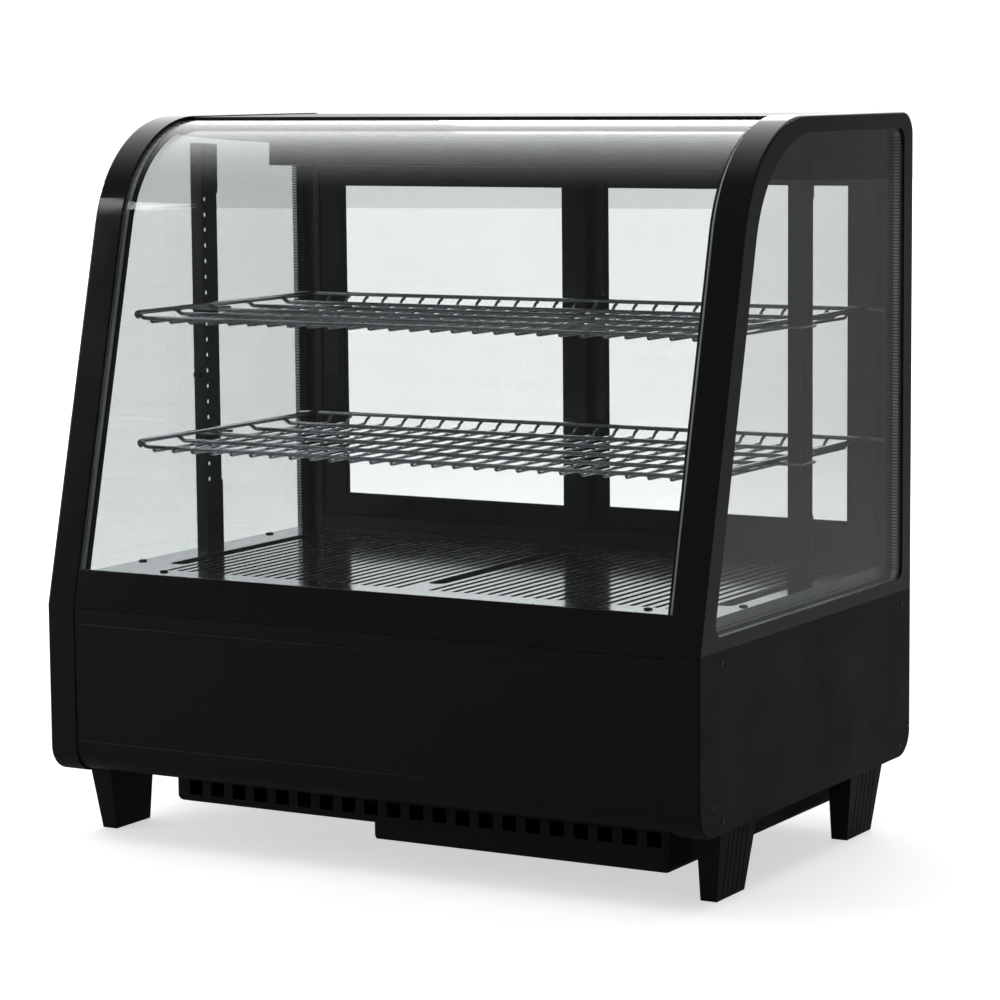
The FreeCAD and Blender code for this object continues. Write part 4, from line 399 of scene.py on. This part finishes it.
# compressor mounts: dusty and dull
finish["rubber"] = mouldedPlastic("black nitrile rubber", {
    "colour": "#131313", "haze": "#1d1d1c", "grain": 1.2, "relief": 0.4, "roughness": 0.7, "shine": 0.3})
# sealant and beads round the panes: deep black
sealRubber = mouldedPlastic("black glazing silicone", {
    "colour": "#050505", "haze": "#0b0b0b", "grain": 1.5, "relief": 0.3, "roughness": 0.5, "shine": 0.3})
# spacer bars of the front glass: pale and even
barAluminium = mouldedPlastic("bead blasted aluminium", {
    "colour": "#dcdedf", "haze": "#eceded", "grain": 0.3, "relief": 0.2, "roughness": 0.4, "shine": 0.5})
# roof sheet
finish["roof_paint"] = powderCoat("satin black powder coat", {
    "colour": "#0d0d0e", "fleck": "#141415", "peel": 1.5, "roughness": 0.32, "shine": 0.4})
# rear frame, tracks, posts, lamp housing and grille
finish["black_paint"] = powderCoat("black powder coat", {
    "colour": "#101011", "fleck": "#19191a", "peel": 1.5, "roughness": 0.36, "shine": 0.4})
# compressor pot: dipped, so its peel is coarser
finish["compressor_paint"] = powderCoat("black air-drying enamel", {
    "colour": "#0e0e10", "fleck": "#1b1b1e", "peel": 2.2, "roughness": 0.28, "shine": 0.5})
# condenser fan motor
finish["motor_paint"] = powderCoat("grey motor enamel", {
    "colour": "#7c8083", "fleck": "#8d9194", "peel": 1.8, "roughness": 0.4, "shine": 0.4})
# screws: oiled black oxide
finish["screw_black"] = rolledMetal("blackened steel", {
    "colour": "#17171a", "light": "#2a2a2e", "streak": (400, 400, 400), "relief": 0.3, "roughness": 0.4})
# slotted deck: near a mirror, faintly streaked from front to back
finish["steel"] = rolledMetal("bright annealed stainless steel", {
    "colour": "#d0d3d5", "light": "#e6e8e9", "streak": grainBack, "relief": 0.08, "roughness": 0.11})
# cold tub and shroud: as it left the mill
finish["tub_steel"] = rolledMetal("mill finish stainless steel", {
    "colour": "#9c9fa2", "light": "#bfc2c4", "streak": grainAcross, "relief": 0.3, "roughness": 0.3})
# shelves and clips: bright plate with slight clouds
finish["chrome_wire"] = rolledMetal("bright chromed wire", {
    "colour": "#c9ccd0", "light": "#e6e8ea", "streak": (260, 260, 260), "relief": 0.05, "roughness": 0.12})
# coil fins
finish["coil_aluminium"] = rolledMetal("plain fin aluminium", {
    "colour": "#b4b7ba", "light": "#d0d2d4", "streak": (40, 700, 60), "relief": 0.2, "roughness": 0.35})
# refrigerant pipes and filter drier: handled, a little dulled
finish["copper"] = rolledMetal("drawn copper tube", {
    "colour": "#b0623f", "light": "#cf8258", "streak": grainLoose, "relief": 0.15, "roughness": 0.28})
# every pane: a faint grey tint and slight smears
finish["glass"] = toughenedGlass("clear toughened glass", {
    "colour": "#eef1f1", "clear": "#f4f5f5", "smear": 0.01, "bend": 1.5, "shadow": "#f2f7f6"})
# spacer rings of the side windows: ticks of pin holes along the bar
finish["spacer_aluminium"] = perforatedBar("perforated aluminium spacer", {
    "colour": "#cfd1d3", "hole": "#3a3b3c", "pitch": 3.0})
# insulation: yellowish, cells drawn 3 mm wide so that they show
finish["foam"] = rigidFoam("polyurethane foam", {
    "colour": "#d9c88a", "deep": "#b79f5c", "cell": 3.0})
# lamp cover: milky, with fine ribs
finish["diffuser"] = opalCover("opal polycarbonate", {
    "colour": "#e9ecec", "edge": "#d5d9d9", "rib": 2.5})

for node, slot in slotOf.items():
    if len(nodes[node].material_slots) == 0:
        nodes[node].data.materials.append(finish[slot])
    for holder in nodes[node].material_slots:
        holder.material = finish[slot]
print("materials ready")


# Helpers for new pieces

weldReach = 0.002 * mm     # corners of a node's mesh this close together are one corner


def choose(piece):
    deselectAll()
    piece.select_set(True)
    bpy.context.view_layer.objects.active = piece


def settle(piece, material, body, slot, *replaced):
    # gives a finished piece its material and its body, and hides the nodes it replaces
    piece.data.materials.clear()
    piece.data.materials.append(material)
    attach(piece, body)
    if replaced:
        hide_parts(*replaced)


def easeEdges(piece, width, segments=2, angle=32):
    # bevels hard edges and shades the rest smooth
    choose(piece)
    if width:
        bevel = piece.modifiers.new("ease", "BEVEL")
        bevel.width = width * mm
        bevel.segments = segments
        bevel.limit_method = "ANGLE"
        bevel.angle_limit = math.radians(angle)
        bpy.ops.object.modifier_apply(modifier=bevel.name)
    bpy.ops.object.shade_smooth_by_angle(angle=math.radians(angle))
    weight = piece.modifiers.new("weight", "WEIGHTED_NORMAL")
    weight.keep_sharp = True
    bpy.ops.object.modifier_apply(modifier=weight.name)


def copyOfNode(node, name):
    # a merged copy of a node's mesh, its flat triangles joined into whole faces
    piece = bpy.data.objects.new(name, nodes[node].data.copy())
    bpy.context.scene.collection.objects.link(piece)
    choose(piece)
    bpy.ops.object.mode_set(mode="EDIT")
    bpy.ops.mesh.select_all(action="SELECT")
    bpy.ops.mesh.remove_doubles(threshold=weldReach)
    bpy.ops.mesh.dissolve_limited(angle_limit=math.radians(0.2))
    bpy.ops.object.mode_set(mode="OBJECT")
    return piece


def finishNode(node, name, width, segments=2):
    piece = copyOfNode(node, name)
    easeEdges(piece, width, segments)
    settle(piece, finish[slotOf[node]], bodyOf[node], slotOf[node], node)


def addBlock(name, low, high):
    # a cube primitive at its size and place, its place in its mesh
    deselectAll()
    bpy.ops.mesh.primitive_cube_add(size=1)
    piece = bpy.context.object
    piece.name = name
    piece.scale = Vector(high) - Vector(low)
    piece.location = (Vector(high) + Vector(low)) / 2
    bpy.ops.object.transform_apply(location=True, rotation=True, scale=True)
    return piece


def joinPieces(name, pieces):
    deselectAll()
    for piece in pieces:
        piece.select_set(True)
    bpy.context.view_layer.objects.active = pieces[0]
    bpy.ops.object.join()
    bpy.context.object.name = name
    return bpy.context.object


def repeatPiece(piece, step, count):
    # copies a piece in a row, all in one mesh
    choose(piece)
    row = piece.modifiers.new("row", "ARRAY")
    row.use_relative_offset = False
    row.use_constant_offset = True
    row.constant_offset_displace = step
    row.count = count
    bpy.ops.object.modifier_apply(modifier=row.name)
    return piece


def bendWire(name, points, radius, sides=2, smooth=3):
    # a round wire along one smooth spline, made a mesh with closed ends
    curve = bpy.data.curves.new(name, "CURVE")
    curve.dimensions = "3D"
    spline = curve.splines.new("NURBS")
    spline.points.add(len(points) - 1)
    for spot, place in zip(spline.points, points):
        spot.co = (*place, 1)
    spline.order_u = smooth
    spline.use_endpoint_u = True
    spline.resolution_u = 6
    curve.bevel_depth = radius
    curve.bevel_resolution = sides
    curve.use_fill_caps = True
    wire = bpy.data.objects.new(name, curve)
    bpy.context.scene.collection.objects.link(wire)
    choose(wire)
    bpy.ops.object.convert(target="MESH")
    wire = bpy.context.object
    bpy.ops.object.mode_set(mode="EDIT")
    bpy.ops.mesh.select_all(action="SELECT")
    bpy.ops.mesh.remove_doubles(threshold=0.01 * mm)
    bpy.ops.mesh.normals_make_consistent(inside=False)
    bpy.ops.object.mode_set(mode="OBJECT")
    return wire


# Casings, glass and frames: the nodes' own shapes with eased edges

easedEdges = {
    # node: width of the eased edge in mm, segments
    "side_frame_left": (0.8, 2), "side_frame_right": (0.8, 2),
    "end_panel_left": (0.6, 2), "end_panel_right": (0.6, 2),
    "front_panel": (0.5, 2), "front_trim": (0.6, 2), "roof_panel": (0.7, 2),
    "lamp_housing": (0.6, 2), "lamp_diffuser": (0.3, 1), "rear_frame": (0.8, 2),
    "door_left": (0.9, 3), "door_right": (0.9, 3),
    "door_handle_left": (0.4, 2), "door_handle_right": (0.4, 2),
    "door_track_bottom": (0.25, 1), "door_track_top": (0.25, 1),
    "side_glass_outer_left": (0.4, 2), "side_glass_outer_right": (0.4, 2),
    "side_glass_inner_left": (0.4, 2), "side_glass_inner_right": (0.4, 2),
    "front_glass_outer": (0.5, 2), "front_glass_inner": (0.5, 2),
    "door_glass_left": (0.4, 2), "door_glass_right": (0.4, 2),
    "post_left": (0.3, 2), "post_right": (0.3, 2), "post_stops": (0.5, 2),
    "deck_plate": (0.2, 1), "base_pan": (0.8, 2),
    "foot_front_left": (0.7, 2), "foot_front_right": (0.7, 2),
    "foot_rear_left": (0.7, 2), "foot_rear_right": (0.7, 2),
    "rear_grille": (0.4, 2), "control_panel": (0.5, 2), "display_window": (0.2, 1),
    "key_set": (0.8, 3), "key_up": (0.8, 3), "key_down": (0.8, 3), "light_switch": (0.6, 2),
    "power_inlet": (0.4, 2), "shelf_clips_upper": (0, 1), "shelf_clips_lower": (0, 1),
}


def camelName(node, ending):
    words = node.split("_")
    return words[0] + "".join(word.capitalize() for word in words[1:]) + ending


for node, (width, segments) in easedEdges.items():
    finishNode(node, camelName(node, "Finish"), width, segments)
print("casings, glass and frames finished")


# Wire shelves

shelfRack = {
    "railRadius": 2.4, "wireRadius": 1.5, "crossRadius": 2.0, "wirePitch": 22, "wireMargin": 18,
    "crossPitch": 62, "rise": 8.5, "prong": 21, "curl": 3.2,
}


def makeShelf(node):
    low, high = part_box(node)
    rail = shelfRack["railRadius"] * mm
    thin = shelfRack["wireRadius"] * mm
    thick = shelfRack["crossRadius"] * mm
    rise = shelfRack["rise"] * mm
    curl = shelfRack["curl"] * mm
    railHalf = high.x - shelfRack["prong"] * mm
    railLevel = high.z - rail
    level = railLevel - rise
    crossLevel = level + thin + thick
    front = low.y + rail
    rear = high.y - rail
    count = int((railHalf * 2 - shelfRack["wireMargin"] * 2 * mm) / (shelfRack["wirePitch"] * mm)) + 1
    firstX = -(count - 1) / 2 * shelfRack["wirePitch"] * mm

    # one thin wire: its nose turns up in front of the front rail, its tail climbs to the rear rail
    wire = bendWire("wire", [
        (firstX, front - rail - thin * 0.2, crossLevel + thin * 0.2),
        (firstX, front - rail - thin * 0.2, level + curl * 0.3),
        (firstX, front - rail * 0.6, level),
        (firstX, front + curl, level),
        (firstX, front + curl * 6, level),
        (firstX, rear - rise * 3, level),
        (firstX, rear - rise * 1.4, level),
        (firstX, rear - rise * 0.9, level),
        (firstX, rear - rise * 0.3, railLevel - rail - thin * 0.4),
        (firstX, rear + rail * 0.5, railLevel - rail - thin * 0.4),
    ], thin)
    pieces = [repeatPiece(wire, (shelfRack["wirePitch"] * mm, 0, 0), count)]

    # thicker wires across on top of them, their ends swept up against the side rails
    reach = high.y - low.y - rail * 2 - rise
    crossCount = int(reach / (shelfRack["crossPitch"] * mm)) + 1
    inner = railHalf - rise * 1.6
    end = railHalf - rail * 0.5
    tip = railLevel - thick * 0.5
    cross = bendWire("cross", [
        (-end, front, tip), (-end + thick, front, tip - thick * 0.3), (-end + rise * 0.7, front, crossLevel),
        (-inner, front, crossLevel), (-inner * 0.6, front, crossLevel), (inner * 0.6, front, crossLevel),
        (inner, front, crossLevel), (end - rise * 0.7, front, crossLevel),
        (end - thick, front, tip - thick * 0.3), (end, front, tip),
    ], thick, 3)
    pieces.append(repeatPiece(cross, (0, shelfRack["crossPitch"] * mm, 0), crossCount))

    # side rails, each with its nose turned down, and the rear rail with its end prongs
    for sign in (-1, 1):
        x = railHalf * sign
        pieces.append(bendWire("sideRail", [
            (x - rail * sign, front, crossLevel + thick * 0.4), (x, front - thick * 0.2, crossLevel + thick),
            (x, front, railLevel), (x, front + rise, railLevel), (x, rear - rise, railLevel),
            (x, rear + rail, railLevel),
        ], rail, 3))
    far = high.x - rail * 0.4
    dip = railLevel - rail * 0.4
    pieces.append(bendWire("rearRail", [
        (-far, rear, dip), (-far + rise * 0.4, rear, railLevel), (-railHalf, rear, railLevel),
        (railHalf, rear, railLevel), (far - rise * 0.4, rear, railLevel), (far, rear, dip),
    ], rail * 0.88, 3))
    rack = joinPieces(camelName(node, "Rack"), pieces)
    choose(rack)
    bpy.ops.object.shade_smooth_by_angle(angle=math.radians(50))
    settle(rack, finish["chrome_wire"], bodyOf[node], "chrome_wire", node)


for node in ("shelf_upper", "shelf_lower"):
    makeShelf(node)
print("shelves made")


# Glazing: seals beside the spacer bars and round the door panes

glazing = {
    "frontSeal": 2.2, "doorBead": 3.0, "beadStand": 0.35, "beadLift": 0.2,
    "doorBite": 6,     # how far the door frame laps over its pane
}


def takeSpacers(name, ofFront):
    # the front bars lie inside the front glass, the side rings outside it
    piece = copyOfNode("glass_spacers", name)
    low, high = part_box("front_glass_inner")
    bpy.ops.object.mode_set(mode="EDIT")
    bpy.ops.mesh.select_all(action="DESELECT")
    bpy.ops.object.mode_set(mode="OBJECT")
    for vertex in piece.data.vertices:
        vertex.select = (abs(vertex.co.x) > high.x) == ofFront
    bpy.ops.object.mode_set(mode="EDIT")
    bpy.ops.mesh.delete(type="VERT")
    bpy.ops.object.mode_set(mode="OBJECT")
    return piece


def makeSpacers():
    for name, ofFront, metal in (("frontSpacers", True, barAluminium),
                                 ("sideSpacers", False, finish["spacer_aluminium"])):
        bars = takeSpacers(name, ofFront)
        easeEdges(bars, 0)
        settle(bars, metal, "case", "spacer_aluminium", "glass_spacers")


def makeFrontSeals():
    # black sealant on the inner side of each front spacer bar, shaped by the bar itself
    seals = takeSpacers("frontSeals", True)
    barOuter = max(vertex.co.x for vertex in seals.data.vertices)
    barInner = min(vertex.co.x for vertex in seals.data.vertices if vertex.co.x > 0)
    thin = glazing["frontSeal"] * mm
    for vertex in seals.data.vertices:
        share = (abs(vertex.co.x) - barInner) / (barOuter - barInner)
        side = 1 if vertex.co.x > 0 else -1
        vertex.co.x = side * (barInner - thin * (1 - share) - 0.05 * mm)
    easeEdges(seals, 0)
    settle(seals, sealRubber, "case", "rubber")


def addBead(name, low, high, width, face):
    # a flat rubber bead round a pane: a plane inset, its middle taken out, then given depth
    deselectAll()
    bpy.ops.mesh.primitive_plane_add(size=1)
    bead = bpy.context.object
    bead.name = name
    bead.scale = (high[0] - low[0], high[1] - low[1], 1)
    bead.rotation_euler = (math.radians(90), 0, 0)
    bead.location = ((low[0] + high[0]) / 2, face, (low[1] + high[1]) / 2)
    bpy.ops.object.transform_apply(location=True, rotation=True, scale=True)
    bpy.ops.object.mode_set(mode="EDIT")
    bpy.ops.mesh.select_all(action="SELECT")
    bpy.ops.mesh.inset(thickness=width, depth=0)
    bpy.ops.mesh.delete(type="FACE")
    bpy.ops.object.mode_set(mode="OBJECT")
    wall = bead.modifiers.new("depth", "SOLIDIFY")
    wall.thickness = glazing["beadStand"] * 2 * mm
    wall.offset = 0
    bpy.ops.object.modifier_apply(modifier=wall.name)
    return bead


def makeDoorBeads():
    for side in ("left", "right"):
        low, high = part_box("door_glass_" + side)
        bite = glazing["doorBite"] * mm
        width = glazing["doorBead"] * mm
        lift = glazing["beadLift"] * mm
        corners = ((low.x + bite - width * 0.3, low.z + bite - width * 0.3),
                   (high.x - bite + width * 0.3, high.z - bite + width * 0.3))
        beads = [addBead("bead", *corners, width, face) for face in (low.y - lift, high.y + lift)]
        bead = joinPieces(camelName("door_bead_" + side, ""), beads)
        easeEdges(bead, 0.15, 1)
        settle(bead, sealRubber, "door_" + side, "rubber")


makeSpacers()
makeFrontSeals()
makeDoorBeads()
print("seals made")


# Fixing plugs on the end panels

plugs = {"radius": 2.4, "stand": 0.4, "sink": 0.3,
         "places": ((-183, 213), (203, 212), (219, 92), (201, 76), (-199, 91), (-180, 76))}


def makePlugs():
    low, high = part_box("end_panel_right")
    caps = []
    for sign in (-1, 1):
        for y, z in plugs["places"]:
            deselectAll()
            depth = (plugs["stand"] + plugs["sink"]) * mm
            bpy.ops.mesh.primitive_cylinder_add(
                vertices=24, radius=plugs["radius"] * mm, depth=depth, rotation=(0, math.radians(90), 0),
                location=(sign * (high.x + plugs["stand"] * mm - depth / 2), y * mm, z * mm))
            caps.append(bpy.context.object)
            bpy.ops.object.transform_apply(location=True, rotation=True, scale=True)
    caps = joinPieces("fixingPlugs", caps)
    easeEdges(caps, 0.25, 2)
    settle(caps, finish["frame_gloss"], "case", "frame_gloss")


makePlugs()
print("plugs made")


# Screws: domed heads with a cross recess

screwHead = {
    "radius": 4.0, "height": 1.6, "crossWidth": 1.1, "crossReach": 2.3, "crossDepth": 1.0,
    "domeSteps": ((0.12, 0.3), (0.2, 0.18), (0.24, 0.07)),     # inset / radius, lift / height
}


def makeScrewHead():
    # the head stands on the origin and looks along +Z
    radius = screwHead["radius"] * mm
    height = screwHead["height"] * mm
    deselectAll()
    bpy.ops.mesh.primitive_cylinder_add(vertices=32, radius=radius, depth=height * 0.45,
                                        location=(0, 0, height * 0.225))
    head = bpy.context.object
    bpy.ops.object.transform_apply(location=True, rotation=True, scale=True)
    bpy.ops.object.mode_set(mode="EDIT")
    bpy.ops.mesh.select_all(action="DESELECT")
    bpy.ops.object.mode_set(mode="OBJECT")
    for face in head.data.polygons:
        face.select = face.normal.z > 0.9
    bpy.ops.object.mode_set(mode="EDIT")
    for share, lift in screwHead["domeSteps"]:
        bpy.ops.mesh.inset(thickness=radius * share, depth=height * lift)
    bpy.ops.object.mode_set(mode="OBJECT")
    wide = screwHead["crossWidth"] * mm / 2
    reach = screwHead["crossReach"] * mm
    bottom = height - screwHead["crossDepth"] * mm
    for across, along in ((wide, reach), (reach, wide)):
        cutter = addBlock("cutter", (-across, -along, bottom), (across, along, height * 2))
        choose(head)
        cut = head.modifiers.new("recess", "BOOLEAN")
        cut.operation = "DIFFERENCE"
        cut.object = cutter
        cut.solver = "EXACT"
        bpy.ops.object.modifier_apply(modifier=cut.name)
        bpy.data.objects.remove(cutter)
    choose(head)
    bpy.ops.object.shade_smooth_by_angle(angle=math.radians(35))
    return head


def screwPlaces():
    # each solid of the screw node gives one head's seat and the way it looks
    block = bpy.data.objects.new("block", nodes["case_screws"].data.copy())
    bpy.context.scene.collection.objects.link(block)
    choose(block)
    bpy.ops.object.mode_set(mode="EDIT")
    bpy.ops.mesh.select_all(action="SELECT")
    bpy.ops.mesh.remove_doubles(threshold=weldReach)
    bpy.ops.mesh.separate(type="LOOSE")
    bpy.ops.object.mode_set(mode="OBJECT")
    places = []
    for solid in list(bpy.context.selected_objects):
        corners = [Vector(corner) for corner in solid.bound_box]
        low = Vector(min(c[axis] for c in corners) for axis in range(3))
        high = Vector(max(c[axis] for c in corners) for axis in range(3))
        size = high - low
        looksUp = size.z < size.y
        middle = (low + high) / 2
        seat = Vector((middle.x, middle.y, low.z)) if looksUp else Vector((middle.x, low.y, middle.z))
        places.append((seat, looksUp))
        bpy.data.objects.remove(solid)
    return sorted(places, key=lambda spot: tuple(spot[0]))


def makeScrews():
    head = makeScrewHead()
    heads = []
    for index, (seat, looksUp) in enumerate(screwPlaces()):
        screw = head.copy()
        screw.data = head.data.copy()
        bpy.context.scene.collection.objects.link(screw)
        twist = Matrix.Rotation(0.9 * index, 4, "Z")
        lean = Matrix.Identity(4) if looksUp else Matrix.Rotation(math.radians(-90), 4, "X")
        screw.data.transform(Matrix.Translation(seat) @ lean @ twist)
        heads.append(screw)
    bpy.data.objects.remove(head)
    screws = joinPieces("caseScrewHeads", heads)
    settle(screws, finish["screw_black"], "case", "screw_black", "case_screws")


makeScrews()
print("screws made")


# Rear face: louvre vanes behind the slots, marks on the keys, digits behind the lens

rearFace = {
    "vaneReach": 8, "vaneSheet": 1.2, "vaneTilt": 40, "rowPitch": 9, "rows": 11, "rowLift": 81.2,
    "columns": ((-249, -61), (25, 213)), "markStand": 0.35, "digitStroke": 1.6, "digitTall": 11,
    "digitWide": 6, "digitPitch": 9.5, "digitStand": 0.12, "markSize": 2.6, "markSink": 0.1, "vaneGap": 0.2,
}


def makeVanes():
    low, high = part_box("rear_grille")
    vanes = []
    for left, right in rearFace["columns"]:
        reach = rearFace["vaneReach"] * mm
        bottom = rearFace["rowLift"] * mm
        edge = low.y - rearFace["vaneGap"] * mm
        vane = addBlock("vane", (left * mm, low.y - reach, bottom),
                        (right * mm, edge, bottom + rearFace["vaneSheet"] * mm))
        hinge = Vector((0, edge, bottom))
        tilt = Matrix.Rotation(-math.radians(rearFace["vaneTilt"]), 4, "X")
        vane.data.transform(Matrix.Translation(hinge) @ tilt @ Matrix.Translation(-hinge))
        easeEdges(vane, 0.3, 2)
        vanes.append(repeatPiece(vane, (0, 0, rearFace["rowPitch"] * mm), rearFace["rows"]))
    settle(joinPieces("grilleVanes", vanes), finish["black_paint"], "case", "black_paint")


def raisedMark(name, points, face, stand):
    # a flat outline on the rear face, filled and given depth
    deselectAll()
    bpy.ops.mesh.primitive_circle_add(vertices=len(points), radius=1, fill_type="NGON")
    mark = bpy.context.object
    mark.name = name
    for vertex, (x, z) in zip(mark.data.vertices, points):
        vertex.co = (x, face, z)
    bpy.ops.object.mode_set(mode="EDIT")
    bpy.ops.mesh.select_all(action="SELECT")
    bpy.ops.mesh.extrude_region_move(TRANSFORM_OT_translate={"value": (0, stand, 0)})
    bpy.ops.mesh.select_all(action="SELECT")
    bpy.ops.mesh.normals_make_consistent(inside=False)
    bpy.ops.object.mode_set(mode="OBJECT")
    return mark


def makeKeyMarks():
    stand = rearFace["markStand"] * mm
    for node, turn in (("key_up", 1), ("key_down", -1), ("key_set", 0)):
        low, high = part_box(node)
        x = (low.x + high.x) / 2
        z = (low.z + high.z) / 2
        size = rearFace["markSize"] * mm
        if turn:
            foot = z - size * 0.7 * turn
            points = [(x - size, foot), (x + size, foot), (x, z + size * turn)]
        else:
            turns = [math.tau * step / 24 for step in range(24)]
            points = [(x + size * 0.9 * math.cos(a), z + size * 0.9 * math.sin(a)) for a in turns]
        mark = raisedMark(camelName(node, "Mark"), points, high.y - rearFace["markSink"] * mm, stand)
        easeEdges(mark, 0.1, 1)
        settle(mark, finish["control_plastic"], node, "control_plastic")


def makeDigits():
    # three unlit seven-stroke figures that show through the smoked lens
    low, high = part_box("display_window")
    tall = rearFace["digitTall"] * mm
    wide = rearFace["digitWide"] * mm
    stroke = rearFace["digitStroke"] * mm
    stand = rearFace["digitStand"] * mm
    middle = (low.z + high.z) / 2
    strokes = []
    for index in (-1, 0, 1):
        x = (low.x + high.x) / 2 + index * rearFace["digitPitch"] * mm
        reach = wide / 2 - stroke / 2
        for level in (-1, 0, 1):
            z = middle + level * tall / 2
            strokes.append(addBlock("stroke", (x - reach, high.y, z - stroke / 2),
                                    (x + reach, high.y + stand, z + stroke / 2)))
        reach = tall / 4 - stroke * 0.6
        for side in (-1, 1):
            for half in (-1, 1):
                across = x + side * wide / 2
                z = middle + half * tall / 4
                strokes.append(addBlock("stroke", (across - stroke / 2, high.y, z - reach),
                                        (across + stroke / 2, high.y + stand, z + reach)))
    digits = joinPieces("displayDigits", strokes)
    easeEdges(digits, 0.04, 1)
    settle(digits, finish["control_plastic"], "case", "control_plastic")


makeVanes()
makeKeyMarks()
makeDigits()
print("rear face finished")
